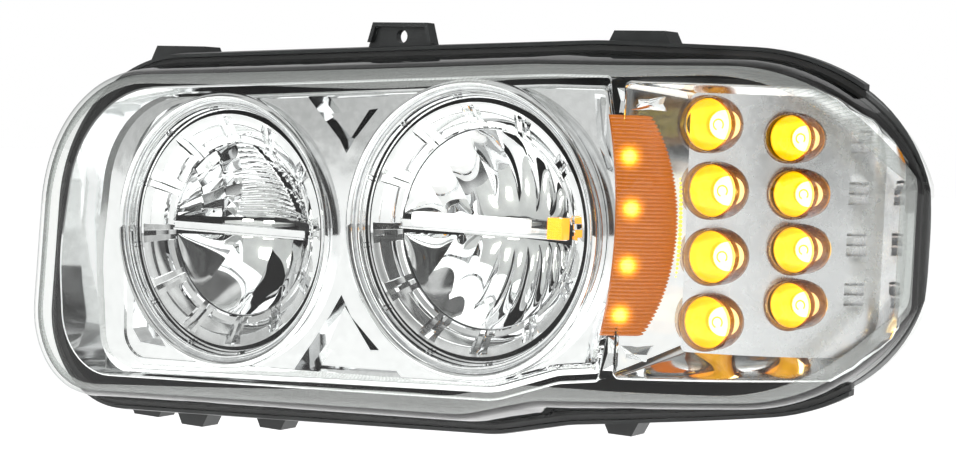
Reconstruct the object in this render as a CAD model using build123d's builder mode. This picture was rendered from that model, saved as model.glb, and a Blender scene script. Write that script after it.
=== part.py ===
from build123d import *
import os
from math import asin, degrees

# Headlight assembly for the vehicle's left side, in millimetres.
# +X is outboard, +Y is rearward and +Z is up.  The origin is the centre of the top fixing tab's hole.
# Both lamps look along -Y.  Every sketch is placed from DATUM, the low-beam lamp's centre.

# ---- driving dimensions ----
DATUM = Vector(81, -40, -115)  # low-beam lamp centre, at its trim ring's rim
HIGH_LAMP = Vector(-194, 6, -13)  # high-beam lamp centre, from DATUM
WALL = 3.0  # lens and housing wall
REGION_Z = -200.0  # cutting regions start below the lamp and reach past its top
REGION_H = 400.0

# Outline corners (x, z) and corner radii: at the lens's front edge, at its flange, and at the rear wall.
FRONT_OUTLINE = [(-337, 80), (45, 98), (253, 98), (247, -76), (60, -91), (15, -106), (-354, -126)]
FRONT_RADII = [95, 300, 88, 84, 90, 90, 52]
FLANGE_OUTLINE = [(-352, 94), (60, 109), (253, 104), (247, -81), (50, -109), (0, -121), (-366, -145)]
FLANGE_RADII = [108, 300, 96, 88, 90, 90, 58]
REAR_OUTLINE = [(-325, 78), (60, 92), (212, 84), (206, -62), (50, -90), (0, -101), (-336, -124)]
REAR_RADII = [84, 300, 70, 66, 90, 90, 46]
FRONT_SECTION_Y = -40.0
FLANGE_SECTION_Y = 40.0
SHOULDER_Y = 92.0  # the side walls taper inwards behind this
REAR_Y = 125.0  # rear wall's outer face

# Plan view of the lens face: a nearly flat front, a wide bend, then a tight bend round the outboard corner.
FACE_APEX_X = -60.0
FACE_Y = -28.0
FACE_R = 2500.0
FACE_END_X = 60.0
BEND_R = 290.0
BEND_END = 34.0  # degrees turned at the end of the wide bend
CORNER_R = 85.0
CORNER_END = 80.0

# Plan view of the joint between the lens and the housing.
JOINT_CORNERS = [(-420, 24), (-40, 35), (160, 46), (320, 126)]
JOINT_RADII = [1500, 180]
RIM = 3.0  # lens rim, outside the wall
RIM_T = 3.5
SEAL_T = 1.5
GUTTER = 5.5  # housing gutter's outer wall, outside the wall
GUTTER_END_X = 213.0  # the gutter stops here: round the outboard corner the lens rim stands alone

# Lamps.
RING_R = 89.0  # trim ring, outside
APERTURE_R = 78.0  # trim ring's fixed aperture
MODULE_R = 75.5  # moving module, outside
OPENINGS = {"low": 60.5, "high": 56.5}  # radius of the reflector's mouth
PIVOT_Y = 30.0  # tilt axis, behind the rim
PIN_R = 4.0
RUNNING_FIT = 0.05
BRACKET_X = 80.0  # inner face of a pivot bracket
BRACKET_T = 6.0
CASTELLATIONS = 12

# Aiming adjusters.
ARM_DROP = 62.0  # the nut's distance below the lamp's axis
NUT_Y = 80.0
SCREW_R = 3.0
NUT_PIN_R = 2.5
SCREW_COLLAR_R = 7.0
SCREW_COLLAR_T = 3.0
SCREW_END_PLAY = 0.3  # between the collar or knob and the rear wall
KNOB_R = 9.0
KNOB_T = 11.0
KNOB_FLUTES = 12
KNOB_FLUTE_R = 1.5
KNOB_SLOT = (9.0, 1.6)  # cross slot for a driver, length and width

# Turn signal: plan arc of its plate, and its two columns of lamps.
PLATE_R = 136.0
PLATE_CENTRE = (102.2, 155.0)
PLATE_FROM, PLATE_TO = 12.0, 61.0  # degrees round the arc, from facing forwards
COLUMNS = [
    # x, y of the plate there, middle z, pitch, collar's outer radius
    (148.6, 27.0, 12.4, 36.8, 16.2),
    (188.3, 48.0, 15.3, 30.9, 14.2),
]
COLUMN_BOW = 6.0  # how far a column leans inboard at BOW_REACH above BOW_Z
BOW_Z = -10.0
BOW_REACH = 77.5

os.makedirs("parts", exist_ok=True)


# ---- helpers ----
def across(y):
    """Sketch plane square to Y, seen from the front: x is outboard and y is up."""
    return Plane(origin=DATUM + Vector(0, y, 0), x_dir=(1, 0, 0), z_dir=(0, -1, 0))


def plan(z):
    """Sketch plane seen from above: x is outboard and y is rearward."""
    return Plane(origin=DATUM + Vector(0, 0, z), x_dir=(1, 0, 0), z_dir=(0, 0, 1))


def lamp_at(beam):
    """Centre of a lamp, from DATUM."""
    return HIGH_LAMP if beam == "high" else Vector(0, 0, 0)


def lamp_front(beam, y):
    """Sketch plane square to a lamp's axis, y behind its rim, for work seen from the front."""
    return Plane(origin=DATUM + lamp_at(beam) + Vector(0, y, 0), x_dir=(1, 0, 0), z_dir=(0, -1, 0))


def lamp_section(beam):
    """Half section of a lamp: x is the radius and y the depth behind its rim."""
    return Plane(origin=DATUM + lamp_at(beam), x_dir=(1, 0, 0), z_dir=(0, 0, 1))


def lamp_side(beam, x):
    """Side view of a lamp, x outboard of its axis: x is rearward and y is up."""
    return Plane(origin=DATUM + lamp_at(beam) + Vector(x, 0, 0), x_dir=(0, 1, 0), z_dir=(1, 0, 0))


def lamp_axis(beam):
    return Axis(DATUM + lamp_at(beam), (0, 1, 0))


def rear_of(beam):
    """How far the rear wall's outer face lies behind a lamp's rim."""
    return REAR_Y - lamp_at(beam).Y


def finish(piece, name):
    """Label a finished piece and write it."""
    piece.part.label = name
    export_step(piece.part, f"parts/{name}.step")


def outline(corners, radii, y, grow):
    """A rounded outline square to Y, grown outwards."""
    with BuildSketch(across(y)) as section:
        with BuildLine():
            FilletPolyline(*corners, radius=radii, close=True)
        make_face()
        if grow:
            offset(amount=grow)
    return section.sketch


def face_region(grow):
    """Everything behind the lens face, as seen in plan, grown outwards."""
    start_x = -430.0
    centre = (FACE_APEX_X, FACE_Y + FACE_R)
    radius = FACE_R + grow
    with BuildSketch(plan(REGION_Z)) as region:
        with BuildLine():
            first = asin((start_x - FACE_APEX_X) / FACE_R)
            last = asin((FACE_END_X - FACE_APEX_X) / FACE_R)
            face = CenterArc(centre, radius, degrees(first) - 90, degrees(last - first))
            turned = degrees(last)
            bend = JernArc(face @ 1, face % 1, BEND_R + grow, BEND_END - turned)
            corner = JernArc(bend @ 1, bend % 1, CORNER_R + grow, CORNER_END - BEND_END)
            end = PolarLine(corner @ 1, 110, direction=corner % 1)
            Polyline(end @ 1, (start_x, (end @ 1).Y), face @ 0)
        make_face()
    return extrude(region.sketch, REGION_H)


def between_joints(front, back):
    """Everything from `front` to `back` behind the lens joint, as seen in plan."""
    with BuildSketch(plan(REGION_Z)) as region:
        with BuildLine():
            near = FilletPolyline(*[(x, y + front) for x, y in JOINT_CORNERS], radius=JOINT_RADII)
            far = FilletPolyline(*[(x, y + back) for x, y in JOINT_CORNERS], radius=JOINT_RADII)
            Line(near @ 0, far @ 0)
            Line(near @ 1, far @ 1)
        make_face()
    return extrude(region.sketch, REGION_H)


def envelope(grow):
    """The closed body of lens and housing together, grown outwards on every wall."""
    front = outline(FRONT_OUTLINE, FRONT_RADII, FRONT_SECTION_Y, grow)
    flange = outline(FLANGE_OUTLINE, FLANGE_RADII, FLANGE_SECTION_Y, grow)
    shoulder = outline(FLANGE_OUTLINE, FLANGE_RADII, SHOULDER_Y, grow)
    rear = outline(REAR_OUTLINE, REAR_RADII, REAR_Y + grow, grow)
    body = loft([front, flange], ruled=True)
    body += extrude(flange, -(SHOULDER_Y - FLANGE_SECTION_Y))
    body += loft([shoulder, rear], ruled=True)
    return body & face_region(grow)


def inboard_of(x):
    """Everything inboard of x, measured from DATUM."""
    with BuildSketch(across(-100)) as region:
        with Locations((x - 500, 0)):
            Rectangle(1000, 800)
    return extrude(region.sketch, -400)


# ---- lens, seal and housing ----
INBOARD = inboard_of(GUTTER_END_X)
INSIDE = envelope(-WALL)
SHELL_SOLID = envelope(0) - INSIDE
LENS_SHELL = SHELL_SOLID & between_joints(-220, 0)
LENS_RIM = (envelope(RIM) - INSIDE) & between_joints(-RIM_T, 0)
SEAL_SOLID = (envelope(-0.2) - envelope(0.5 - WALL)) & between_joints(0, SEAL_T)
SEAL_SOLID += (envelope(RIM - 0.5) - envelope(-0.2)) & between_joints(0, SEAL_T) & INBOARD
HOUSING_SHELL = SHELL_SOLID & between_joints(SEAL_T, 260)
HOUSING_FLANGE = (envelope(GUTTER) - INSIDE) & between_joints(SEAL_T, SEAL_T + 4) & INBOARD
HOUSING_GUTTER = (envelope(GUTTER) - envelope(RIM + 0.3)) & between_joints(-2, SEAL_T + 1) & INBOARD

with BuildPart() as outer_lens:
    add(LENS_SHELL)
    add(LENS_RIM)
finish(outer_lens, "outer_lens")

with BuildPart() as lens_seal:
    add(SEAL_SOLID)
finish(lens_seal, "lens_seal")

TAB_CORNERS = [(-108, 103), (-101.6, 123.5), (-60.2, 123.5), (-54, 103)]
TAB_Y = 37.5
TAB_T = 5.0
TAB_LIP = 2.6  # raised edge round the front of the tab
TAB_LIP_H = 3.0
TAB_HOLE_R = 4.2
# Fixing lugs along the edges: x from, x to, z of the edge at the root, z of the tip.
LUGS = [
    (-303, -240, 88, 107),
    (57, 108, 104, 120.5),
    (-313, -274, -134, -149.5),
    (-270, -233, -134, -151.5),
    (-200, -166, -130, -145.5),
    (64, 98, -100, -117.5),
]
LUG_Y = 46.0
LUG_DEPTH = 16.0
BOSS_R = 9.0
SCREW_POSTS = [(-97, 76), (-97, -94), (-268, 66), (-312, -100)]
BOARD_POSTS = [(147, -60, 46.6), (147, 84, 46.6), (186, -46, 67.6), (186, 76, 67.6)]
POST_R = 5.0
POST_FRONT_Y = 40.0
BOARD_POST_R = 4.0
BOSS_OUT = 12.0  # how far the mounting bosses stand behind the rear wall
KNOB_BOSS_OUT = 5.0
CAP_RIM = (62.0, 66.0)  # raised ring round each lamp on the rear wall, inner and outer radius
CAP_RIM_OUT = 3.0
SCREW_BORE_R = 3.7
SCREW_R_BEZEL = 1.5
BREATHER_R = 4.0
CAP_R = 9.0
CAP_DEPTH = 5.0
LUG_TAPER = 62.0  # degrees at a lug's foot
BREATHERS = [(-292, 4), (120, 64)]
MOUNT_BOSSES = [(x, z) for x in (-290, 150) for z in (-44, 40)]
MOUNT_HOLE_R = 2.5
MOUNT_DEPTH = 22.0
CONNECTORS = {"main": (96, -18, 30), "turn": (146, -18, 22)}  # x, z, width
CONNECTOR_H = 16.0
PIN_PITCH = 6.0
PIN_W = 1.2

with BuildPart() as rear_housing:
    add(HOUSING_SHELL)
    add(HOUSING_FLANGE)
    add(HOUSING_GUTTER)
    # top tab and the fixing lugs
    with BuildSketch(across(TAB_Y)):
        with BuildLine():
            Polyline(*TAB_CORNERS, close=True)
        make_face()
    extrude(amount=-TAB_T)
    with BuildSketch(across(TAB_Y)):
        with BuildLine():
            Polyline(*TAB_CORNERS, close=True)
        make_face()
        offset(amount=-TAB_LIP, mode=Mode.SUBTRACT)
        with Locations((-DATUM.X, TAB_CORNERS[0][1])):
            Rectangle(60, 16, mode=Mode.SUBTRACT)
    extrude(amount=TAB_LIP_H)
    for x_from, x_to, root, tip in LUGS:
        with BuildSketch(across(LUG_Y)):
            with Locations(((x_from + x_to) / 2, (root + tip) / 2)):
                Trapezoid(x_to - x_from, abs(tip - root), LUG_TAPER, rotation=0 if tip > root else 180)
        extrude(amount=-LUG_DEPTH)
    # bosses on the rear wall, outside
    for beam in OPENINGS:
        with BuildSketch(lamp_front(beam, rear_of(beam) - 1)):
            with Locations((0, -ARM_DROP)):
                Circle(BOSS_R)
        extrude(amount=-(KNOB_BOSS_OUT + 1))
        with BuildSketch(lamp_front(beam, rear_of(beam) - 1)):
            Circle(CAP_RIM[1])
            Circle(CAP_RIM[0], mode=Mode.SUBTRACT)
        extrude(amount=-(CAP_RIM_OUT + 1))
    with BuildSketch(across(REAR_Y - 1)):
        with Locations(*MOUNT_BOSSES):
            Circle(BOSS_R)
    extrude(amount=-(BOSS_OUT + 1))
    # posts inside, for the bezel's screws, the LED boards and the mounting bosses
    with BuildSketch(across(REAR_Y - 1)):
        with Locations(*SCREW_POSTS):
            Circle(POST_R)
    extrude(amount=REAR_Y - 1 - POST_FRONT_Y)
    with BuildSketch(across(REAR_Y - 1)):
        with Locations(*MOUNT_BOSSES):
            Circle(BOSS_R)
    extrude(amount=14)
    for x, z, front_y in BOARD_POSTS:
        with BuildSketch(across(REAR_Y - 1)):
            with Locations((x, z)):
                Circle(BOARD_POST_R)
        extrude(amount=REAR_Y - 1 - front_y)
    # holes
    with BuildSketch(across(TAB_Y - 1)):
        with Locations((-DATUM.X, -DATUM.Z)):
            Circle(TAB_HOLE_R)
    extrude(amount=-(TAB_T + 2), mode=Mode.SUBTRACT)
    for beam in OPENINGS:
        with BuildSketch(lamp_front(beam, rear_of(beam) - 10)):
            with Locations((0, -ARM_DROP)):
                Circle(PIN_R + RUNNING_FIT)
        extrude(amount=-20, mode=Mode.SUBTRACT)
    with BuildSketch(across(REAR_Y + BOSS_OUT)):
        with Locations(*MOUNT_BOSSES):
            Circle(MOUNT_HOLE_R)
    extrude(amount=MOUNT_DEPTH, mode=Mode.SUBTRACT)
    with BuildSketch(across(REAR_Y + 1)):
        with Locations(*SCREW_POSTS):
            Circle(SCREW_BORE_R)
    extrude(amount=REAR_Y + 1 - POST_FRONT_Y - 8, mode=Mode.SUBTRACT)
    with BuildSketch(across(REAR_Y + 1)):
        with Locations(*SCREW_POSTS):
            Circle(SCREW_R_BEZEL + 0.1)
    extrude(amount=REAR_Y + 2 - POST_FRONT_Y, mode=Mode.SUBTRACT)
    with BuildSketch(across(REAR_Y + 1)):
        with Locations(*BREATHERS):
            Circle(BREATHER_R)
    extrude(amount=20, mode=Mode.SUBTRACT)
    for x, z, width in CONNECTORS.values():
        with BuildSketch(across(REAR_Y + 1)):
            with Locations((x, z)):
                Rectangle(width, CONNECTOR_H)
        extrude(amount=20, mode=Mode.SUBTRACT)
finish(rear_housing, "rear_housing")

with BuildPart() as breather_caps:
    for x, z in BREATHERS:
        with BuildSketch(across(REAR_Y - 6)):
            with Locations((x, z)):
                Circle(BREATHER_R)
                Circle(BREATHER_R / 2, mode=Mode.SUBTRACT)
        extrude(amount=-6)
        with BuildSketch(across(REAR_Y)):
            with Locations((x, z)):
                Circle(CAP_R)
        extrude(amount=-CAP_DEPTH)
finish(breather_caps, "breather_caps")

# ---- bezel and trim rings ----
BEZEL_GAP = 8.0  # between the lens and the bezel
BEZEL_T = 2.5
BEZEL_Y = 14.0  # front face of the bezel between the lamps
BEZEL_BACK_Y = 60.0
WINDOW = (97, 222, -63, 85)  # turn signal window: x from, x to, z from, z to
FIN_X = 95.0
FIN_T = 4.0
FIN_Z = (-62.0, 70.0)
FIN_FRONT_Y = -12.0
LAMP_HOLE_R = RING_R - 5.0


def behind(y):
    """Everything from y rearwards as far as the bezel goes."""
    with BuildSketch(across(y)) as region:
        Rectangle(1000, 500)
    return extrude(region.sketch, -(BEZEL_BACK_Y + 40 - y))


BEZEL_OUTSIDE = envelope(-BEZEL_GAP) & behind(BEZEL_Y)
BEZEL_INSIDE = envelope(-BEZEL_GAP - BEZEL_T) & behind(BEZEL_Y + BEZEL_T)
BEZEL_TRAY = (BEZEL_OUTSIDE - BEZEL_INSIDE) & between_joints(-220, -3)

with BuildPart() as chrome_bezel:
    add(BEZEL_TRAY)
    with BuildSketch(across(0)):
        with Locations((0, 0), (HIGH_LAMP.X, HIGH_LAMP.Z)):
            Circle(LAMP_HOLE_R)
    extrude(amount=-60, mode=Mode.SUBTRACT)
    x_from, x_to, z_from, z_to = WINDOW
    with BuildSketch(across(-60)):
        with Locations(((x_from + x_to) / 2, (z_from + z_to) / 2)):
            RectangleRounded(x_to - x_from, z_to - z_from, 12)
    extrude(amount=-200, mode=Mode.SUBTRACT)
    with BuildSketch(across(FIN_FRONT_Y)):
        with Locations((FIN_X, sum(FIN_Z) / 2)):
            Rectangle(FIN_T, FIN_Z[1] - FIN_Z[0])
    extrude(amount=-(BEZEL_Y + 1 - FIN_FRONT_Y))
    with BuildSketch(across(BEZEL_Y + 1)):
        with Locations(*SCREW_POSTS):
            Circle(POST_R)
    extrude(amount=-(POST_FRONT_Y - BEZEL_Y - 1))
    with BuildSketch(across(POST_FRONT_Y)):
        with Locations(*SCREW_POSTS):
            Circle(SCREW_R_BEZEL)
    extrude(amount=16, mode=Mode.SUBTRACT)
finish(chrome_bezel, "chrome_bezel")

with BuildPart() as bezel_screws:
    for x, z in SCREW_POSTS:
        with BuildSketch(across(POST_FRONT_Y - 12)):
            with Locations((x, z)):
                Circle(SCREW_R_BEZEL)
        extrude(amount=-20)
        with BuildSketch(across(POST_FRONT_Y + 8)):
            with Locations((x, z)):
                Circle(3.5)
                RegularPolygon(1.6, 6, mode=Mode.SUBTRACT)
        extrude(amount=-3)
finish(bezel_screws, "bezel_screws")

RING_SECTION = [
    (APERTURE_R, 10), (APERTURE_R, 6), (80, 4), (80, 1), (83, -1), (83, -4), (86, -6), (88.2, -5),
    (RING_R, -2), (RING_R, 5), (86.5, 7.7), (83.8, 7.7),
]


def trim_ring(beam):
    """Fixed round trim ring with a rolled rim and stepped inside."""
    seat = BEZEL_Y + BEZEL_T - lamp_at(beam).Y
    with BuildPart() as ring:
        with BuildSketch(lamp_section(beam)):
            with BuildLine():
                Polyline(*RING_SECTION, (83.8, seat), (81.5, seat), (81.5, 10), close=True)
            make_face()
        revolve(axis=lamp_axis(beam))
    return ring


# ---- lamp modules ----
def castellated_ring(beam):
    """Conical front ring, with raised blocks round it."""
    mouth = OPENINGS[beam]
    with BuildPart() as ring:
        with BuildSketch(lamp_section(beam)):
            with BuildLine():
                Polyline(
                    (mouth, 18), (mouth, 14), (mouth + 3, 12), (MODULE_R - 5, 8), (MODULE_R - 2, 4),
                    (MODULE_R, 4), (MODULE_R, 18), close=True,
                )
            make_face()
        revolve(axis=lamp_axis(beam))
        with BuildSketch(lamp_front(beam, 14)):
            with PolarLocations((mouth + MODULE_R) / 2, CASTELLATIONS, start_angle=15):
                Rectangle(MODULE_R - mouth - 9, 24)
        extrude(amount=6)
    return ring


def bowl(beam, upper):
    """Half of the reflector bowl, above or below the cross bar."""
    mouth = OPENINGS[beam] - 1
    with BuildPart() as half:
        with BuildSketch(lamp_section(beam)):
            with BuildLine():
                inside = ThreePointArc((mouth, 18.3), (mouth * 0.86, 36), (24, 54))
                outside = ThreePointArc((24, 56.5), (mouth * 0.86 + 2, 37.4), (mouth + 2.4, 18.3))
                Line(inside @ 1, outside @ 0)
                Line(outside @ 1, inside @ 0)
            make_face()
        revolve(axis=lamp_axis(beam))
        with BuildSketch(lamp_front(beam, 0)):
            with Locations((0, -100 if upper else 100)):
                Rectangle(200, 200 + 2 * BAR_GAP)
        extrude(amount=-90, mode=Mode.SUBTRACT)
    return half


BAR_GAP = 6.5  # from the lamp's axis to the edge of each reflector
BAR_H = 6.0
BOARD_T = 1.6
SINK_Y = 62.0  # heat sink base, front face
SINK_T = 5.0
FIN_COUNT = 11
FIN_BACK_Y = 98.0
FIN_PITCH = 6.4
SINK_W, SINK_H = 88.0, 76.0
SINK_HOLES = (76, 64)  # spacing across and up
SINK_HOLE_R = 2.0
SINK_HEAD_R = 3.6


def cross_bar(beam):
    """Level bar across the lamp that carries the LED boards and leads their heat to the sink."""
    with BuildPart() as bar:
        with BuildSketch(lamp_front(beam, 22)):
            Rectangle(44, BAR_H)
        extrude(amount=-(SINK_Y - 22))
        with BuildSketch(lamp_front(beam, 14)):
            Rectangle(2 * OPENINGS[beam] - 3, BAR_H)
        extrude(amount=-8)
    return bar


def led_boards(beam):
    """The upper and the lower LED board, on the faces of the cross bar."""
    with BuildPart() as boards:
        for side in (-1, 1):
            with BuildSketch(lamp_front(beam, 24)):
                with Locations((0, side * (BAR_H + BOARD_T) / 2)):
                    Rectangle(40, BOARD_T)
            extrude(amount=-24)
    return boards


def leds(beam):
    """Four LEDs, two on each board."""
    with BuildPart() as chips:
        for side in (-1, 1):
            with BuildSketch(lamp_front(beam, 32)):
                with Locations(*[(x, side * (BAR_H / 2 + BOARD_T + 0.75)) for x in (-9, 9)]):
                    Rectangle(5, 1.5)
            extrude(amount=-5)
    return chips


def carrier(beam):
    """Drum that holds the optics, with its two trunnion pins and its adjuster fork."""
    with BuildPart() as drum:
        with BuildSketch(lamp_front(beam, 18)):
            Circle(MODULE_R)
            Circle(MODULE_R - 3, mode=Mode.SUBTRACT)
        extrude(amount=-(SINK_Y - 18))
        with BuildSketch(lamp_front(beam, SINK_Y - 4)):
            Circle(MODULE_R - 1)
            Rectangle(50, 2 * BAR_GAP, mode=Mode.SUBTRACT)
        extrude(amount=-4)
        with BuildSketch(lamp_side(beam, 0)):
            with Locations((PIVOT_Y, 0)):
                Circle(PIN_R)
        extrude(amount=BRACKET_X + BRACKET_T + 1, both=True)
        with BuildSketch(lamp_front(beam, 20)):
            Circle(MODULE_R - 3)
        extrude(amount=-(SINK_Y - 4 - 20), mode=Mode.SUBTRACT)
        # fork: two ears with upright slots for the nut's pins
        for side in (-1, 1):
            with BuildSketch(lamp_side(beam, side * 9.5)):
                with Locations(((SINK_Y + NUT_Y + 8) / 2, -ARM_DROP)):
                    Rectangle(NUT_Y + 8 - SINK_Y, 20)
                with Locations((NUT_Y, -ARM_DROP)):
                    SlotOverall(2 * NUT_PIN_R + 6.5, 2 * NUT_PIN_R + 0.5, rotation=90, mode=Mode.SUBTRACT)
            extrude(amount=1.5, both=True)
    return drum


def heat_sink(beam):
    """Finned heat sink on the carrier's back."""
    with BuildPart() as sink:
        with BuildSketch(lamp_front(beam, SINK_Y)):
            RectangleRounded(SINK_W, SINK_H, 4)
            with GridLocations(*SINK_HOLES, 2, 2):
                Circle(SINK_HOLE_R, mode=Mode.SUBTRACT)
        extrude(amount=-SINK_T)
        with BuildSketch(lamp_front(beam, SINK_Y + SINK_T)):
            with GridLocations(FIN_PITCH, 0, FIN_COUNT, 1):
                Rectangle(2, 72)
        extrude(amount=-(FIN_BACK_Y - SINK_Y - SINK_T))
    return sink


def sink_screws(beam):
    with BuildPart() as screws:
        with BuildSketch(lamp_front(beam, SINK_Y)):
            with GridLocations(*SINK_HOLES, 2, 2):
                Circle(SINK_HOLE_R)
        extrude(amount=-SINK_T)
        with BuildSketch(lamp_front(beam, SINK_Y + SINK_T)):
            with GridLocations(*SINK_HOLES, 2, 2):
                Circle(SINK_HEAD_R)
        extrude(amount=-2.4)
    return screws


def pivot_brackets(beam):
    """Two arms that reach forward from the rear wall and hold the trunnion pins."""
    with BuildPart() as brackets:
        for side in (-1, 1):
            near = side * BRACKET_X
            with BuildSketch(lamp_side(beam, near)):
                with Locations((PIVOT_Y, 0)):
                    Circle(9)
                with Locations(((PIVOT_Y + rear_of(beam) - WALL) / 2, 0)):
                    Rectangle(rear_of(beam) - WALL - PIVOT_Y, 14)
                with Locations((PIVOT_Y, 0)):
                    Circle(PIN_R + RUNNING_FIT, mode=Mode.SUBTRACT)
            extrude(amount=side * BRACKET_T)
    return brackets


def adjuster_screw(beam):
    """Aiming screw: knob outside the rear wall, collar inside it and a long stem for the nut."""
    back = rear_of(beam)
    axis_z = -ARM_DROP
    with BuildPart() as screw:
        with BuildSketch(lamp_front(beam, NUT_Y - 12)):
            with Locations((0, axis_z)):
                Circle(SCREW_R)
        extrude(amount=-(back - WALL - SCREW_END_PLAY - NUT_Y + 12))
        with BuildSketch(lamp_front(beam, back - WALL - SCREW_END_PLAY - SCREW_COLLAR_T)):
            with Locations((0, axis_z)):
                Circle(SCREW_COLLAR_R)
        extrude(amount=-SCREW_COLLAR_T)
        with BuildSketch(lamp_front(beam, back - WALL - SCREW_END_PLAY)):
            with Locations((0, axis_z)):
                Circle(PIN_R)
        extrude(amount=-8.6)
        with BuildSketch(lamp_front(beam, back + KNOB_BOSS_OUT + SCREW_END_PLAY)):
            with Locations((0, axis_z)):
                Circle(KNOB_R)
        extrude(amount=-KNOB_T)
        with BuildSketch(lamp_front(beam, back + KNOB_BOSS_OUT + SCREW_END_PLAY + 1)):
            with Locations((0, axis_z)):
                with PolarLocations(KNOB_R + 0.6, KNOB_FLUTES):
                    Circle(KNOB_FLUTE_R)
        extrude(amount=-10, mode=Mode.SUBTRACT)
        with BuildSketch(lamp_front(beam, back + 12.3)):
            with Locations((0, axis_z)):
                Rectangle(*KNOB_SLOT)
                Rectangle(*reversed(KNOB_SLOT))
        extrude(amount=-5, mode=Mode.SUBTRACT)
    return screw


def adjuster_nut(beam):
    """Travelling nut with a pin on each side."""
    with BuildPart() as nut:
        with BuildSketch(lamp_front(beam, NUT_Y - 5)):
            with Locations((0, -ARM_DROP)):
                RectangleRounded(14, 14, 2)
        extrude(amount=-10)
        with BuildSketch(lamp_side(beam, 0)):
            with Locations((NUT_Y, -ARM_DROP)):
                Circle(NUT_PIN_R)
        extrude(amount=11.5, both=True)
        with BuildSketch(lamp_front(beam, NUT_Y - 20)):
            with Locations((0, -ARM_DROP)):
                Circle(SCREW_R + RUNNING_FIT)
        extrude(amount=-40, mode=Mode.SUBTRACT)
    return nut


for beam_name in OPENINGS:
    finish(trim_ring(beam_name), f"{beam_name}_trim_ring")
    finish(castellated_ring(beam_name), f"{beam_name}_castellated_ring")
    finish(bowl(beam_name, True), f"{beam_name}_upper_reflector")
    finish(bowl(beam_name, False), f"{beam_name}_lower_reflector")
    finish(cross_bar(beam_name), f"{beam_name}_cross_bar")
    finish(led_boards(beam_name), f"{beam_name}_led_boards")
    finish(leds(beam_name), f"{beam_name}_leds")
    finish(carrier(beam_name), f"{beam_name}_carrier")
    finish(heat_sink(beam_name), f"{beam_name}_heat_sink")
    finish(sink_screws(beam_name), f"{beam_name}_sink_screws")
    finish(pivot_brackets(beam_name), f"{beam_name}_pivot_brackets")
    finish(adjuster_screw(beam_name), f"{beam_name}_adjuster_screw")
    finish(adjuster_nut(beam_name), f"{beam_name}_adjuster_nut")

# ---- low-beam light guide, in front of the cross bar ----
GUIDE_H = 8.5
GUIDE_Y = 2.0
with BuildPart() as light_guide:
    with BuildSketch(lamp_front("low", GUIDE_Y)):
        with Locations((-5, 4)):
            Rectangle(78, GUIDE_H)
    extrude(amount=-(14 - GUIDE_Y))
finish(light_guide, "light_guide")

with BuildPart() as guide_end:
    with BuildSketch(lamp_front("low", GUIDE_Y + 1)):
        with Locations((42, 4)):
            Rectangle(16, GUIDE_H)
    extrude(amount=-(13 - GUIDE_Y))
finish(guide_end, "guide_end")

with BuildPart() as amber_prism:
    with BuildSketch(lamp_front("low", GUIDE_Y + 2)):
        with Locations((55, 4)):
            Rectangle(10, GUIDE_H + 4)
    extrude(amount=-9.4)
finish(amber_prism, "amber_prism")

# ---- amber side marker ----
MARKER_FROM = (101.0, -9.0)
MARKER_TO = (125.6, 18.6)
MARKER_Z = (-53.0, 71.0)
MARKER_T = 3.0
MARKER_LEDS = [50, 20, -12, -42]
MARKER_LED_SHARE = 0.28  # along the lens, from its forward edge


def marker_plane(depth):
    """Plane of the marker lens's front face, moved back by depth: x runs rearward along it, y is up."""
    run = Vector(MARKER_TO[0] - MARKER_FROM[0], MARKER_TO[1] - MARKER_FROM[1], 0)
    facing = Vector(run.Y, -run.X, 0).normalized()
    start = DATUM + Vector(MARKER_FROM[0], MARKER_FROM[1], 0)
    return Plane(origin=start - facing * depth, x_dir=run, z_dir=facing)


MARKER_RUN = Vector(MARKER_TO[0] - MARKER_FROM[0], MARKER_TO[1] - MARKER_FROM[1], 0).length

with BuildPart() as marker_lens:
    with BuildSketch(marker_plane(0)):
        with Locations((MARKER_RUN / 2, sum(MARKER_Z) / 2)):
            RectangleRounded(MARKER_RUN, MARKER_Z[1] - MARKER_Z[0], 2)
    extrude(amount=-MARKER_T)
finish(marker_lens, "marker_lens")

with BuildPart() as marker_led_board:
    with BuildSketch(marker_plane(11)):
        with Locations((MARKER_RUN / 2 + 1, sum(MARKER_Z) / 2)):
            Rectangle(16, MARKER_Z[1] - MARKER_Z[0] - 8)
    extrude(amount=-BOARD_T)
finish(marker_led_board, "marker_led_board")

with BuildPart() as marker_leds:
    with BuildSketch(marker_plane(11)):
        with Locations(*[(MARKER_RUN * MARKER_LED_SHARE + 5, z) for z in MARKER_LEDS]):
            Rectangle(4, 4)
    extrude(amount=2)
finish(marker_leds, "marker_leds")


# ---- turn signal ----
def turn_lamps():
    """Centre (x, z), the plate's y there and the collar's radius of every turn signal lamp."""
    lamps = []
    for x, y, middle, pitch, radius in COLUMNS:
        for step in (1.5, 0.5, -0.5, -1.5):
            z = middle + step * pitch
            lean = COLUMN_BOW * ((z - BOW_Z) / BOW_REACH) ** 2
            lamps.append((x - lean, z, y, radius))
    return lamps


TURN_LAMPS = turn_lamps()
PLATE_T = 2.5
PLATE_Z = (-61.0, 86.0)
COLLAR_FRONT = 12.0
COLLAR_BACK = 12.0
COLLAR_WALL = 1.4
LENS_DEPTH = 7.0
DOME_TOP = 1.0 - COLLAR_FRONT  # depth of the dome's middle, its shoulder and its rim, from the plate
DOME_SHOULDER = 2.2 - COLLAR_FRONT
DOME_RIM = 5.0 - COLLAR_FRONT
SHOULDER_SHARE = 0.6  # of the lens's radius

PLATE_LIMIT = envelope(-BEZEL_GAP - BEZEL_T - 0.5)

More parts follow.
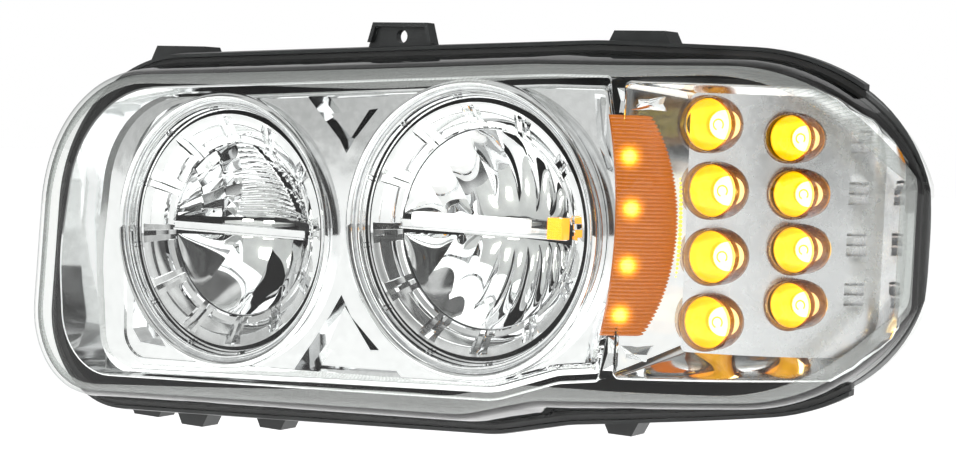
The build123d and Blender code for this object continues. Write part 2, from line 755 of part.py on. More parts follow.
with BuildPart() as turn_plate:
    with BuildSketch(plan(PLATE_Z[0])):
        with BuildLine():
            sweep_angle = PLATE_TO - PLATE_FROM
            front_arc = CenterArc(PLATE_CENTRE, PLATE_R, PLATE_FROM - 90, sweep_angle)
            back_arc = CenterArc(PLATE_CENTRE, PLATE_R - PLATE_T, PLATE_FROM - 90, sweep_angle)
            Line(front_arc @ 0, back_arc @ 0)
            Line(front_arc @ 1, back_arc @ 1)
        make_face()
    extrude(amount=PLATE_Z[1] - PLATE_Z[0])
    add(PLATE_LIMIT, mode=Mode.INTERSECT)
    with BuildSketch(across(-30)):
        with Locations(*[(x, z) for x, z, y, radius in TURN_LAMPS if radius > 15]):
            Circle(COLUMNS[0][4])
        with Locations(*[(x, z) for x, z, y, radius in TURN_LAMPS if radius < 15]):
            Circle(COLUMNS[1][4])
    extrude(amount=-200, mode=Mode.SUBTRACT)
finish(turn_plate, "turn_plate")

with BuildPart() as turn_collars:
    for x, z, y, radius in TURN_LAMPS:
        with BuildSketch(across(y - COLLAR_FRONT)):
            with Locations((x, z)):
                Circle(radius)
                Circle(radius - COLLAR_WALL, mode=Mode.SUBTRACT)
        extrude(amount=-(COLLAR_FRONT + COLLAR_BACK))
finish(turn_collars, "turn_collars")

for number, (x, z, y, radius) in enumerate(TURN_LAMPS, start=1):
    lens_plane = Plane(origin=DATUM + Vector(x, y, z), x_dir=(1, 0, 0), z_dir=(0, 0, 1))
    with BuildPart() as turn_lens:
        with BuildSketch(lens_plane):
            with BuildLine():
                rim = radius - COLLAR_WALL
                back_y = DOME_RIM + LENS_DEPTH
                dome = ThreePointArc((0, DOME_TOP), (rim * SHOULDER_SHARE, DOME_SHOULDER), (rim, DOME_RIM))
                Polyline(dome @ 1, (rim, back_y), (0, back_y))
                Line((0, back_y), dome @ 0)
            make_face()
        revolve(axis=Axis(lens_plane.origin, (0, 1, 0)))
    finish(turn_lens, f"turn_lens_{number}")

with BuildPart() as turn_led_boards:
    for x, y, middle, pitch, radius in COLUMNS:
        with BuildSketch(across(y + 18)):
            with Locations((x - 2, middle)):
                Rectangle(30, 3 * pitch + 44)
        extrude(amount=-BOARD_T)
finish(turn_led_boards, "turn_led_boards")

with BuildPart() as turn_leds:
    for x, z, y, radius in TURN_LAMPS:
        with BuildSketch(across(y + 16)):
            with Locations((x, z)):
                RectangleRounded(6, 6, 1)
        extrude(amount=-2)
finish(turn_leds, "turn_leds")

# ---- LED driver on the rear wall ----
DRIVER_AT = (-97, -6)
DRIVER_W, DRIVER_H, DRIVER_D = 60.0, 112.0, 20.0
DRIVER_WALL = 2.5
DRIVER_HOLES = (DRIVER_W - 12.0, DRIVER_H - 12.0)  # screw spacing across and up

with BuildPart() as driver_case:
    with BuildSketch(across(REAR_Y)):
        with Locations(DRIVER_AT):
            RectangleRounded(DRIVER_W, DRIVER_H, 5)
    extrude(amount=-DRIVER_D)
    with BuildSketch(across(REAR_Y + DRIVER_WALL)):
        with Locations(DRIVER_AT):
            RectangleRounded(DRIVER_W - 2 * DRIVER_WALL, DRIVER_H - 2 * DRIVER_WALL, 3)
    extrude(amount=-DRIVER_D, mode=Mode.SUBTRACT)
    with BuildSketch(across(REAR_Y + DRIVER_WALL)):
        with Locations(DRIVER_AT):
            with GridLocations(*DRIVER_HOLES, 2, 2):
                Circle(4)
                Circle(1.5, mode=Mode.SUBTRACT)
    extrude(amount=-(DRIVER_D - DRIVER_WALL))
finish(driver_case, "driver_case")

with BuildPart() as driver_board:
    with BuildSketch(across(REAR_Y + 8)):
        with Locations(DRIVER_AT):
            Rectangle(DRIVER_W - 26, DRIVER_H - 12)
            Rectangle(DRIVER_W - 12, DRIVER_H - 30)
    extrude(amount=-BOARD_T)
finish(driver_board, "driver_board")

with BuildPart() as driver_cover:
    with BuildSketch(across(REAR_Y + DRIVER_D)):
        with Locations(DRIVER_AT):
            RectangleRounded(DRIVER_W, DRIVER_H, 5)
            with GridLocations(*DRIVER_HOLES, 2, 2):
                Circle(1.7, mode=Mode.SUBTRACT)
    extrude(amount=-2)
    with BuildSketch(across(REAR_Y + DRIVER_D + 2)):
        with Locations(DRIVER_AT):
            with GridLocations(0, 7, 1, 11):
                Rectangle(DRIVER_W - 26, 2.4)
    extrude(amount=-4)
finish(driver_cover, "driver_cover")

with BuildPart() as cover_screws:
    for screw_at in GridLocations(*DRIVER_HOLES, 2, 2):
        where = (DRIVER_AT[0] + screw_at.position.X, DRIVER_AT[1] + screw_at.position.Y)
        with BuildSketch(across(REAR_Y + 10)):
            with Locations(where):
                Circle(1.5)
        extrude(amount=-12)
        with BuildSketch(across(REAR_Y + DRIVER_D + 2)):
            with Locations(where):
                Circle(3)
                Rectangle(4, 0.8, mode=Mode.SUBTRACT)
        extrude(amount=-2)
finish(cover_screws, "cover_screws")

# ---- connectors through the rear wall ----
CONNECTOR_OUT = 20.0
SHELL = 2.0
for connector_name, (x, z, width) in CONNECTORS.items():
    with BuildPart() as header:
        with BuildSketch(across(REAR_Y - WALL)):
            with Locations((x, z)):
                Rectangle(width, CONNECTOR_H)
        extrude(amount=-(WALL + CONNECTOR_OUT))
        with BuildSketch(across(REAR_Y)):
            with Locations((x, z)):
                RectangleRounded(width + 8, CONNECTOR_H + 8, 2)
        extrude(amount=-2.5)
        with BuildSketch(across(REAR_Y + 4)):
            with Locations((x, z)):
                Rectangle(width - 2 * SHELL, CONNECTOR_H - 2 * SHELL)
        extrude(amount=-CONNECTOR_OUT, mode=Mode.SUBTRACT)
        with BuildSketch(across(REAR_Y - WALL)):
            with Locations((x, z)):
                with GridLocations(PIN_PITCH, 0, int((width - PIN_PITCH) / PIN_PITCH), 1):
                    Rectangle(PIN_W, PIN_W)
        extrude(amount=-20, mode=Mode.SUBTRACT)
        with BuildSketch(across(REAR_Y + 12)):
            with Locations((x, z + CONNECTOR_H / 2 + 1)):
                Rectangle(6, 2)
        extrude(amount=-5)
    finish(header, f"{connector_name}_connector")

with BuildPart() as connector_pins:
    for x, z, width in CONNECTORS.values():
        with BuildSketch(across(REAR_Y - WALL)):
            with Locations((x, z)):
                with GridLocations(PIN_PITCH, 0, int((width - PIN_PITCH) / PIN_PITCH), 1):
                    Rectangle(PIN_W, PIN_W)
        extrude(amount=-(WALL + 14))
finish(connector_pins, "connector_pins")
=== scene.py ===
import math
import random

import bmesh
import bpy
import numpy as np
from mathutils import Matrix, Vector
from mathutils.geometry import delaunay_2d_cdt


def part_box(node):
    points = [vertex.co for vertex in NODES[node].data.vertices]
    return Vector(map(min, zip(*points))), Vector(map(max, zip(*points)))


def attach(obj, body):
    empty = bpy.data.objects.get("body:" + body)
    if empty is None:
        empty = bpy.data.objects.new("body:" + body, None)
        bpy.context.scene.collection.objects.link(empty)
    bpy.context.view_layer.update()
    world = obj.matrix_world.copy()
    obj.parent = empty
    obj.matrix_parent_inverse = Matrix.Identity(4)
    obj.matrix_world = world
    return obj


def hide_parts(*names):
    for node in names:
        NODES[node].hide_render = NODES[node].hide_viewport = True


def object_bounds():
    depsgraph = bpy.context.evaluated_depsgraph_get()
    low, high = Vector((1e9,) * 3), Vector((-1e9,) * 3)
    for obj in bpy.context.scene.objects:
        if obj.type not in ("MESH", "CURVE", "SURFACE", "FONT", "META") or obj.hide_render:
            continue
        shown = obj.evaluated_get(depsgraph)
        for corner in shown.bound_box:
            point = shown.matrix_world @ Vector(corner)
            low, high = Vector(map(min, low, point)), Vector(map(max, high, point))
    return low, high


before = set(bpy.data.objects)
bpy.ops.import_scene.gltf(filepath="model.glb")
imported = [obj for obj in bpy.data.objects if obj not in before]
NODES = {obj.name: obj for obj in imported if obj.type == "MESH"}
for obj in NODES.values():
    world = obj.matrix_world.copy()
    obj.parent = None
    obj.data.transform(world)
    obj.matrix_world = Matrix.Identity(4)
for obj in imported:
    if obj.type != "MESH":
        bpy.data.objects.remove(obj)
CAD_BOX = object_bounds()

# Everything below is in millimetres from the low-beam lamp's centre, at its trim ring's rim:
# x outboard, y rearward, z up.  row() takes such a point into the shared frame, in metres.
MM = 0.001
RIM_FORWARD = 6.0  # the trim ring's foremost edge, ahead of the rim's centre


def lamp_centre(beam):
    low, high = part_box(f"{beam}_trim_ring")
    return Vector(((low.x + high.x) / 2, low.y + RIM_FORWARD * MM, (low.z + high.z) / 2))


LOW = lamp_centre("low")
LAMPS = {beam: (lamp_centre(beam) - LOW) / MM for beam in ("low", "high")}


def row(point):
    return LOW + Vector(point) * MM


def local(point):
    """A point of the shared frame, in millimetres from the low-beam lamp."""
    return (Vector(point) - LOW) / MM


# ---- camera ----
CAMERA_AZIMUTH = math.radians(33.0)
CAMERA_ELEVATION = math.radians(3.6)
CAMERA_ROLL = math.radians(2.2)
CAMERA_DISTANCE = 1150.0
CAMERA_RIGHT = 5.01  # where the camera points, from the low-beam lamp
CAMERA_DOWN = 4.72
FOCAL_LENGTH = 73.354

back = Vector((
    math.sin(CAMERA_AZIMUTH) * math.cos(CAMERA_ELEVATION),
    -math.cos(CAMERA_AZIMUTH) * math.cos(CAMERA_ELEVATION),
    math.sin(CAMERA_ELEVATION),
))
level = Vector((math.cos(CAMERA_AZIMUTH), math.sin(CAMERA_AZIMUTH), 0))
upright = back.cross(level)
cam_right = level * math.cos(CAMERA_ROLL) + upright * math.sin(CAMERA_ROLL)
cam_up = upright * math.cos(CAMERA_ROLL) - level * math.sin(CAMERA_ROLL)
camera = bpy.data.objects.new("camera", bpy.data.cameras.new("camera"))
bpy.context.scene.collection.objects.link(camera)
place = row(cam_right * CAMERA_RIGHT - cam_up * CAMERA_DOWN + back * CAMERA_DISTANCE)
camera.matrix_world = Matrix((
    (cam_right.x, cam_up.x, back.x, place.x),
    (cam_right.y, cam_up.y, back.y, place.y),
    (cam_right.z, cam_up.z, back.z, place.z),
    (0, 0, 0, 1),
))
camera.data.lens = FOCAL_LENGTH
camera.data.clip_end = 50
bpy.context.scene.camera = camera


# ---- node helpers ----
class Nodes:
    """A short way to write a node tree."""

    def __init__(self, tree):
        self.tree = tree
        tree.nodes.clear()

    def add(self, kind, settings=None, **inputs):
        node = self.tree.nodes.new(kind)
        for key, value in (settings or {}).items():
            setattr(node, key, value)
        for key, value in inputs.items():
            socket = node.inputs[int(key[1:])] if key[1:].isdigit() else node.inputs[key.replace("_", " ")]
            self.feed(socket, value)
        return node

    def feed(self, socket, value):
        if isinstance(value, bpy.types.NodeSocket):
            self.tree.links.new(value, socket)
        elif isinstance(value, bpy.types.Node):
            self.tree.links.new(value.outputs[0], socket)
        else:
            socket.default_value = value

    def maths(self, operation, a, b=0.0, c=0.0):
        return self.add("ShaderNodeMath", {"operation": operation}, _0=a, _1=b, _2=c).outputs[0]

    def ramp(self, factor, stops):
        """stops are (position, colour) pairs; a number is a grey."""
        node = self.add("ShaderNodeValToRGB", _0=factor)
        elements = node.color_ramp.elements
        while len(elements) < len(stops):
            elements.new(1.0)
        for element, (position, colour) in zip(elements, stops):
            element.position = position
            element.color = (colour, colour, colour, 1) if isinstance(colour, float) else (*colour, 1)
        return node.outputs[0]


def new_material(name):
    material = bpy.data.materials.new(name)
    material.use_nodes = True
    return material, Nodes(material.node_tree)


def plastic(name, dark, pale, roughness, grain=900.0, bump=0.06, metallic=0.0, coat=0.0, speckle=60.0):
    """Moulded, cast or plated surface: a slightly uneven colour, uneven gloss and a fine grain."""
    material, n = new_material(name)
    where = n.add("ShaderNodeTexCoord").outputs["Object"]
    blotch = n.add("ShaderNodeTexNoise", Vector=where, Scale=speckle, Detail=3.0)
    fine = n.add("ShaderNodeTexNoise", Vector=where, Scale=grain, Detail=2.0)
    colour = n.ramp(blotch.outputs["Fac"], [(0.3, dark), (0.7, pale)])
    gloss = n.add(
        "ShaderNodeMapRange", Value=blotch.outputs["Fac"], To_Min=roughness * 0.8, To_Max=roughness * 1.25
    )
    relief = n.add("ShaderNodeBump", Strength=bump, Distance=0.0002, Height=fine.outputs["Fac"])
    shader = n.add(
        "ShaderNodeBsdfPrincipled", Base_Color=colour, Roughness=gloss.outputs[0], Metallic=metallic,
        Normal=relief.outputs[0], Coat_Weight=coat,
    )
    n.add("ShaderNodeOutputMaterial", Surface=shader)
    return material


def metallised(name, pale, roughness, wave=0.0, wave_scale=25.0):
    """Vacuum-metallised plastic: near-white, mirror-like, with the moulding's faint waviness."""
    material, n = new_material(name)
    where = n.add("ShaderNodeTexCoord").outputs["Object"]
    slow = n.add("ShaderNodeTexNoise", Vector=where, Scale=wave_scale, Detail=1.5)
    haze = n.add("ShaderNodeTexNoise", Vector=where, Scale=180.0, Detail=3.0)
    shade = tuple(c * 0.93 for c in pale)
    colour = n.ramp(haze.outputs["Fac"], [(0.35, shade), (0.65, pale)])
    gloss = n.add(
        "ShaderNodeMapRange", Value=haze.outputs["Fac"], To_Min=roughness * 0.6, To_Max=roughness * 1.4
    )
    relief = n.add("ShaderNodeBump", Strength=wave, Distance=0.004, Height=slow.outputs["Fac"])
    shader = n.add(
        "ShaderNodeBsdfPrincipled", Base_Color=colour, Roughness=gloss.outputs[0], Metallic=1.0,
        Normal=relief.outputs[0],
    )
    n.add("ShaderNodeOutputMaterial", Surface=shader)
    return material


def clear(name, face_tint, edge_tint, gloss=0.02, haze=0.0, strength=1.0, stops=None):
    """Clear moulded plastic: light passes straight through, less of it where it is seen edge on."""
    material, n = new_material(name)
    where = n.add("ShaderNodeTexCoord").outputs["Object"]
    slow = n.add("ShaderNodeTexNoise", Vector=where, Scale=40.0, Detail=2.0)
    relief = n.add("ShaderNodeBump", Strength=0.15, Distance=0.001, Height=slow.outputs["Fac"])
    facing = n.add("ShaderNodeLayerWeight", Blend=0.35)
    tint = n.ramp(facing.outputs["Facing"], stops or [(0.45, face_tint), (0.98, edge_tint)])
    through = n.add("ShaderNodeBsdfTransparent", Color=tint)
    shine = n.add("ShaderNodeBsdfGlossy", Roughness=gloss, Normal=relief.outputs[0])
    fresnel = n.add("ShaderNodeFresnel", IOR=1.49, Normal=relief.outputs[0])
    entering = n.maths("SUBTRACT", strength, n.add("ShaderNodeNewGeometry").outputs["Backfacing"])
    amount = n.maths("MULTIPLY", fresnel.outputs[0], n.maths("MAXIMUM", entering, 0.0))
    mixed = n.add("ShaderNodeMixShader", _0=amount, _1=through, _2=shine)
    if haze:
        milk = n.add("ShaderNodeBsdfDiffuse", Color=(0.9, 0.91, 0.9, 1))
        mixed = n.add("ShaderNodeMixShader", _0=haze, _1=mixed, _2=milk)
    n.add("ShaderNodeOutputMaterial", Surface=mixed)
    return material


def glow(name, colour, strength, under, roughness=0.15, metallic=0.0):
    """Lit plastic, or a reflector whose glow is painted light in place of the light it reflects: some of its
    light is its own, uneven from place to place.
    """
    material, n = new_material(name)
    where = n.add("ShaderNodeTexCoord").outputs["Object"]
    noise = n.add("ShaderNodeTexNoise", Vector=where, Scale=260.0, Detail=2.0)
    level_out = n.add(
        "ShaderNodeMapRange", Value=noise.outputs["Fac"], To_Min=strength * 0.75, To_Max=strength * 1.2
    )
    shader = n.add(
        "ShaderNodeBsdfPrincipled", Base_Color=(*under, 1), Roughness=roughness, Metallic=metallic,
        Emission_Color=(*colour, 1), Emission_Strength=level_out.outputs[0],
    )
    n.add("ShaderNodeOutputMaterial", Surface=shader)
    return material


LENS_CLEAR = clear("lens_clear", (0.985, 0.99, 0.985), (0.30, 0.33, 0.32))
FLUTE_CLEAR = clear(
    "flute_clear", (0.97, 0.975, 0.97), (0.25, 0.27, 0.27), haze=0.14,
    stops=[(0.10, (0.96, 0.965, 0.96)), (0.45, (0.62, 0.64, 0.63)), (0.9, (0.25, 0.27, 0.27))],
)
COLLAR_CLEAR = clear(
    "collar_clear", (0.93, 0.86, 0.78), (0.42, 0.20, 0.09),
    stops=[(0.15, (0.93, 0.86, 0.78)), (0.75, (0.42, 0.20, 0.09))],
)
DOME_CLEAR = clear("dome_clear", (1.0, 0.93, 0.62), (0.95, 0.55, 0.06), strength=0.8)
END_CLEAR = clear("end_clear", (0.95, 0.955, 0.95), (0.35, 0.37, 0.37))
CHROME = metallised("chrome", (0.97, 0.975, 0.98), 0.07, wave=0.07)
RING_CHROME = metallised("ring_chrome", (0.97, 0.975, 0.98), 0.03, wave=0.04)
SATIN = metallised("satin_chrome", (0.93, 0.935, 0.945), 0.26, wave=0.10)
REFLECTOR = metallised("reflector_chrome", (0.98, 0.985, 0.99), 0.02, wave=0.05)
BLACK = plastic("black_housing", (0.010, 0.011, 0.011), (0.022, 0.024, 0.024), 0.42, bump=0.25)
RUBBER = plastic("seal_rubber", (0.008, 0.008, 0.008), (0.016, 0.016, 0.016), 0.75, bump=0.2)


# ---- mesh helpers ----
def piece_from(name, points, faces, material, body="housing", slot=None, sharp=32.0, weld=0.01):
    """A mesh piece from points in millimetres."""
    mesh = bpy.data.meshes.new(name)
    mesh.from_pydata([row(p) for p in points], [], [tuple(f) for f in faces])
    build = bmesh.new()
    build.from_mesh(mesh)
    bmesh.ops.remove_doubles(build, verts=build.verts, dist=weld * MM)
    bmesh.ops.dissolve_degenerate(build, edges=build.edges, dist=weld * MM)
    bmesh.ops.recalc_face_normals(build, faces=build.faces)
    build.to_mesh(mesh)
    build.free()
    mesh.shade_smooth()
    mesh.set_sharp_from_angle(angle=math.radians(sharp))
    piece = bpy.data.objects.new(name, mesh)
    bpy.context.scene.collection.objects.link(piece)
    mesh.materials.append(material)
    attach(piece, body)
    return piece


class Build:
    """Points and faces of one piece as it grows."""

    def __init__(self):
        self.points = []
        self.faces = []

    def grid(self, rows, closed=False):
        """Faces between rows of points, all of one length; closed joins each row's end to its start."""
        start = len(self.points)
        count = len(rows[0])
        for line in rows:
            self.points.extend(tuple(float(c) for c in p) for p in line)
        across = count if closed else count - 1
        for r in range(len(rows) - 1):
            for c in range(across):
                a = start + r * count + c
                b = start + r * count + (c + 1) % count
                self.faces.append((a, b, b + count, a + count))
        return self

    def fill(self, loop):
        """One flat face over a loop of points."""
        start = len(self.points)
        self.points.extend(tuple(float(c) for c in p) for p in loop)
        self.faces.append(tuple(range(start, start + len(loop))))
        return self

    def done(self, name, material, **options):
        return piece_from(name, self.points, self.faces, material, **options)


def thicken(piece, thickness, bevel=0.0, segments=2, angle=30.0):
    """Give a sheet its wall, behind the face that is seen, with crisp free edges."""
    sheet = bmesh.new()
    sheet.from_mesh(piece.data)
    for side in sheet.edges:
        if side.is_boundary:
            side.smooth = False
    sheet.to_mesh(piece.data)
    sheet.free()
    wall = piece.modifiers.new("wall", "SOLIDIFY")
    wall.thickness = thickness * MM
    wall.offset = -1
    if bevel:
        soften(piece, bevel, segments, angle)
    return piece


def soften(piece, width, segments=2, angle=30.0):
    edge = piece.modifiers.new("edges", "BEVEL")
    edge.width = width * MM
    edge.segments = segments
    edge.limit_method = "ANGLE"
    edge.angle_limit = math.radians(angle)
    edge.harden_normals = True
    return piece


def ring_points(radius, y, centre, count=144, start=0.0, sweep=math.tau):
    cx, cy, cz = centre
    turn = [start + sweep * k / count for k in range(count)]
    return [(cx + radius * math.cos(t), cy + y, cz + radius * math.sin(t)) for t in turn]


def spun(profile, centre, count=144):
    """Rows of points for a profile of (radius, depth) turned about a lamp's axis."""
    return [ring_points(radius, y, centre, count) for radius, y in profile]


def rounded(corners, radii, per_corner=14, per_edge=12):
    """Points (x, z) and outward normals along a clockwise outline with rounded corners."""
    count = len(corners)
    arcs = []
    for k in range(count):
        before, here, after = (np.array(corners[(k + j) % count], float) for j in (-1, 0, 1))
        d0 = (here - before) / np.linalg.norm(here - before)
        d1 = (after - here) / np.linalg.norm(after - here)
        turn = math.atan2(d0[0] * d1[1] - d0[1] * d1[0], float(d0 @ d1))
        reach = radii[k] * math.tan(abs(turn) / 2)
        side = -1 if turn < 0 else 1  # a clockwise turn is a convex corner
        n0 = np.array((-d0[1], d0[0]))
        centre = here - d0 * reach + side * n0 * radii[k]
        arc = []
        for s in np.linspace(0, 1, per_corner):
            c, sn = math.cos(turn * s), math.sin(turn * s)
            normal = np.array((n0[0] * c - n0[1] * sn, n0[0] * sn + n0[1] * c))
            arc.append((centre - side * normal * radii[k], normal))
        arcs.append(arc)
    points, normals = [], []
    for k, arc in enumerate(arcs):
        for point, normal in arc:
            points.append(point)
            normals.append(normal)
        end, start = arc[-1], arcs[(k + 1) % count][0]
        for s in np.linspace(0, 1, per_edge + 2)[1:-1]:
            points.append(end[0] + (start[0] - end[0]) * s)
            normals.append(end[1])
    return np.array(points), np.array(normals)


# ---- the lamp's outside surfaces ----
FRONT_OUTLINE = [(-337, 80), (45, 98), (253, 98), (247, -76), (60, -91), (15, -106), (-354, -126)]
FRONT_RADII = [95, 300, 88, 84, 90, 90, 52]
FLANGE_OUTLINE = [(-352, 94), (60, 109), (253, 104), (247, -81), (50, -109), (0, -121), (-366, -145)]
FLANGE_RADII = [108, 300, 96, 88, 90, 90, 58]
FRONT_SECTION_Y = -40.0
FLANGE_SECTION_Y = 40.0
JOINT_CORNERS = [(-420, 24), (-40, 35), (160, 46), (320, 126)]
JOINT_RADII = [1500, 180]
FACE_APEX = (-60.0, -28.0)
FACE_ARCS = [(2500.0, math.asin(120 / 2500)), (290.0, math.radians(34)), (85.0, math.radians(80))]


def face_curve(grow):
    """Plan points (x, y) of the lens face, evenly spaced enough to interpolate."""
    radius, _ = FACE_ARCS[0]
    centre = np.array((FACE_APEX[0], FACE_APEX[1] + radius))
    start = math.asin((-430 - FACE_APEX[0]) / radius)
    points = []
    previous = radius
    for radius, end in FACE_ARCS:
        centre = centre + (previous - radius) * np.array((math.sin(start), -math.cos(start)))
        previous = radius
        for angle in np.linspace(start, end, 90):
            points.append(centre + (radius + grow) * np.array((math.sin(angle), -math.cos(angle))))
        start = end
    run = np.array((math.cos(start), math.sin(start)))
    points.append(points[-1] + run * 110)
    return np.array(points)


def joint_y(x):
    """Depth of the joint between lens and housing."""
    corners = [np.array(c, float) for c in JOINT_CORNERS]
    xs, ys = [corners[0][0]], [corners[0][1]]
    for k, radius in enumerate(JOINT_RADII, start=1):
        d0 = (corners[k] - corners[k - 1]) / np.linalg.norm(corners[k] - corners[k - 1])
        d1 = (corners[k + 1] - corners[k]) / np.linalg.norm(corners[k + 1] - corners[k])
        turn = math.atan2(d0[0] * d1[1] - d0[1] * d1[0], float(d0 @ d1))
        reach = radius * math.tan(turn / 2)
        a, b = corners[k] - d0 * reach, corners[k] + d1 * reach
        for s in np.linspace(0, 1, 12):
            p = a * (1 - s) ** 2 + corners[k] * 2 * s * (1 - s) + b * s * s
            xs.append(p[0])
            ys.append(p[1])
    xs.append(corners[-1][0])
    ys.append(corners[-1][1])
    return float(np.interp(x, xs, ys))


class Skin:
    """The closed body's skin, grown outwards: its walls, its face, and where they meet."""

    def __init__(self, grow, per_corner=26, per_edge=20):
        self.grow = grow
        front, front_normals = rounded(FRONT_OUTLINE, FRONT_RADII, per_corner, per_edge)
        flange, flange_normals = rounded(FLANGE_OUTLINE, FLANGE_RADII, per_corner, per_edge)
        self.front = front + front_normals * grow
        self.flange = flange + flange_normals * grow
        self.plan = face_curve(grow)
        self.run = np.concatenate(([0], np.cumsum(np.linalg.norm(np.diff(self.plan, axis=0), axis=1))))
        self.count = len(front)

    def wall(self, k, y):
        """Point of the wall at sample k and depth y."""
        s = min((y - FRONT_SECTION_Y) / (FLANGE_SECTION_Y - FRONT_SECTION_Y), 1.0)
        x, z = self.front[k] + (self.flange[k] - self.front[k]) * s
        return np.array((x, y, z))

    def face_y(self, x):
        return float(np.interp(x, self.plan[:, 0], self.plan[:, 1]))

    def along(self, x):
        return float(np.interp(x, self.plan[:, 0], self.run))

    def face(self, u, z):
        x = float(np.interp(u, self.run, self.plan[:, 0]))
        y = float(np.interp(u, self.run, self.plan[:, 1]))
        return np.array((x, y, z))

    def edge(self, k, back=0.0):
        """Where the wall at sample k meets the face, and the wall's depth to `back` before the joint."""
        near, far = FRONT_SECTION_Y, 130.0
        for _ in range(40):
            middle = (near + far) / 2
            point = self.wall(k, middle)
            if self.face_y(point[0]) > middle:
                near = middle
            else:
                far = middle
        point = self.wall(k, near)
        limit = joint_y(point[0]) - back
        if point[1] < limit - 0.5:
            return point, limit
        # the face runs out to the joint before it meets the wall
        near, far = 150.0, 260.0
        for _ in range(40):
            middle = (near + far) / 2
            if self.face_y(middle) > joint_y(middle) - back:
                far = middle
            else:
                near = middle
        y = self.face_y(near)
        return np.array((near, y, self.wall(k, y)[2])), y

    def profile(self, k, rounding, back=0.0, centre=(-40.0, -8.0), rows=22, bend_rows=8):
        """Points from the middle of the face, round the edge and back along the wall to the joint."""
        corner, limit = self.edge(k, back)
        u0, z0 = self.along(centre[0]), centre[1]
        u1, z1 = self.along(corner[0]), corner[2]
        reach = math.hypot(u1 - u0, z1 - z0)
        depth = max(limit - corner[1], 0.01)
        radius = min(rounding, depth * 0.8)
        keep = 1 - radius / reach
        points = [
            self.face(u0 + (u1 - u0) * keep * s, z0 + (z1 - z0) * keep * s)
            for s in np.linspace(0, 1, rows) ** 0.8
        ]
        before = points[-1]
        after = self.wall(k, corner[1] + radius) if depth > 0.02 else corner
        for s in np.linspace(0, 1, bend_rows)[1:]:
            points.append(before * (1 - s) ** 2 + corner * 2 * s * (1 - s) + after * s * s)
        for s in (0.5, 1.0):
            y = corner[1] + radius + (depth - radius) * s
            points.append(self.wall(k, y) if depth > 0.02 else corner)
        return points


LENS_T = 3.0
LENS_RIM = 3.0
LENS_RIM_T = 3.5
EDGE_R = 15.0
SKIN_INSET = 0.03  # keeps the lens just inside the CAD's own
SKIN = Skin(-SKIN_INSET)
INNER_SKIN = Skin(-LENS_T)


def outer_lens():
    """The clear cover: face, rounded edge and side walls with a rim at the joint."""
    outside = [SKIN.profile(k, EDGE_R, LENS_RIM_T) for k in range(SKIN.count)]
    inside = [INNER_SKIN.profile(k, EDGE_R - LENS_T) for k in range(SKIN.count)]
    rim = Skin(LENS_RIM - SKIN_INSET)
    rows_out = [list(line) for line in zip(*outside)]
    rows_in = [list(line) for line in zip(*inside)]
    rim_front = [rim.profile(k, EDGE_R, LENS_RIM_T)[-1] for k in range(rim.count)]
    rim_back = [rim.profile(k, EDGE_R)[-1] for k in range(rim.count)]
    shell = Build()
    shell.grid(rows_out + [rim_front, rim_back] + rows_in[::-1], closed=True)
    lens = shell.done("clear_lens", LENS_CLEAR, slot="clear_lens", sharp=40)
    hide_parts("outer_lens")
    return lens


FLUTE_PITCH = 2.9
FLUTE_DEPTH = 0.75
FLUTE_STEPS = 6  # points round each flute
BAND_BEFORE = 8.0  # how far the flutes reach on to the face, and back along the wall
BAND_AFTER = 8.0


def lens_flutes():
    """The band of fine flutes moulded round the inside of the lens's edge."""
    skin = Skin(-LENS_T - 0.15)
    loops = []
    for k in range(skin.count):
        line = np.array(skin.profile(k, EDGE_R - LENS_T, 3.0))
        bend = line[21:29]  # the rounded edge's own rows
        lengths = np.concatenate(([0], np.cumsum(np.linalg.norm(np.diff(line, axis=0), axis=1))))
        middle = lengths[24]
        if np.linalg.norm(bend[-1] - bend[0]) < 4:
            middle = lengths[-1] - BAND_AFTER
        places = middle + np.linspace(-BAND_BEFORE, BAND_AFTER, 7)
        loops.append([[np.interp(p, lengths, line[:, axis]) for axis in range(3)] for p in places])
    loops = np.array(loops)
    loops = np.concatenate((loops, loops[:1]))
    middle_line = loops[:, 3]
    around = np.concatenate(([0], np.cumsum(np.linalg.norm(np.diff(middle_line, axis=0), axis=1))))
    flutes = int(around[-1] / FLUTE_PITCH)
    places = np.linspace(0, around[-1], flutes * FLUTE_STEPS + 1)[:-1]
    rows_out = []
    for r in range(7):
        rows_out.append(
            np.stack([np.interp(places, around, loops[:, r, axis]) for axis in range(3)], axis=1)
        )
    rows_out = np.array(rows_out)
    slope = np.gradient(rows_out, axis=0)
    run = np.roll(rows_out, -1, axis=1) - np.roll(rows_out, 1, axis=1)
    normal = np.cross(slope, run)
    normal /= np.linalg.norm(normal, axis=2, keepdims=True)
    middle_point = np.array((-40.0, 60.0, -8.0))
    inward = np.sign(((middle_point - rows_out) * normal).sum(axis=2, keepdims=True))
    phase = np.arange(len(places)) / FLUTE_STEPS * math.tau
    fade = np.sin(np.linspace(0.12, math.pi - 0.12, 7)) ** 0.5
    depth = 0.3 + FLUTE_DEPTH * (0.5 + 0.5 * np.cos(phase))[None, :, None] * fade[:, None, None]
    rows_in = rows_out + normal * inward * depth
    band = Build()
    band.grid(list(rows_out) + list(rows_in[::-1]) + [rows_out[0]], closed=True)
    return band.done("lens_flutes", FLUTE_CLEAR, slot="clear_lens", sharp=70, weld=0.001)


outer_lens()
lens_flutes()


# ---- chrome surround of the two lamps ----
PANEL_Y = 8.0  # its flat face between the lamps
BEZEL_GAP = 8.0
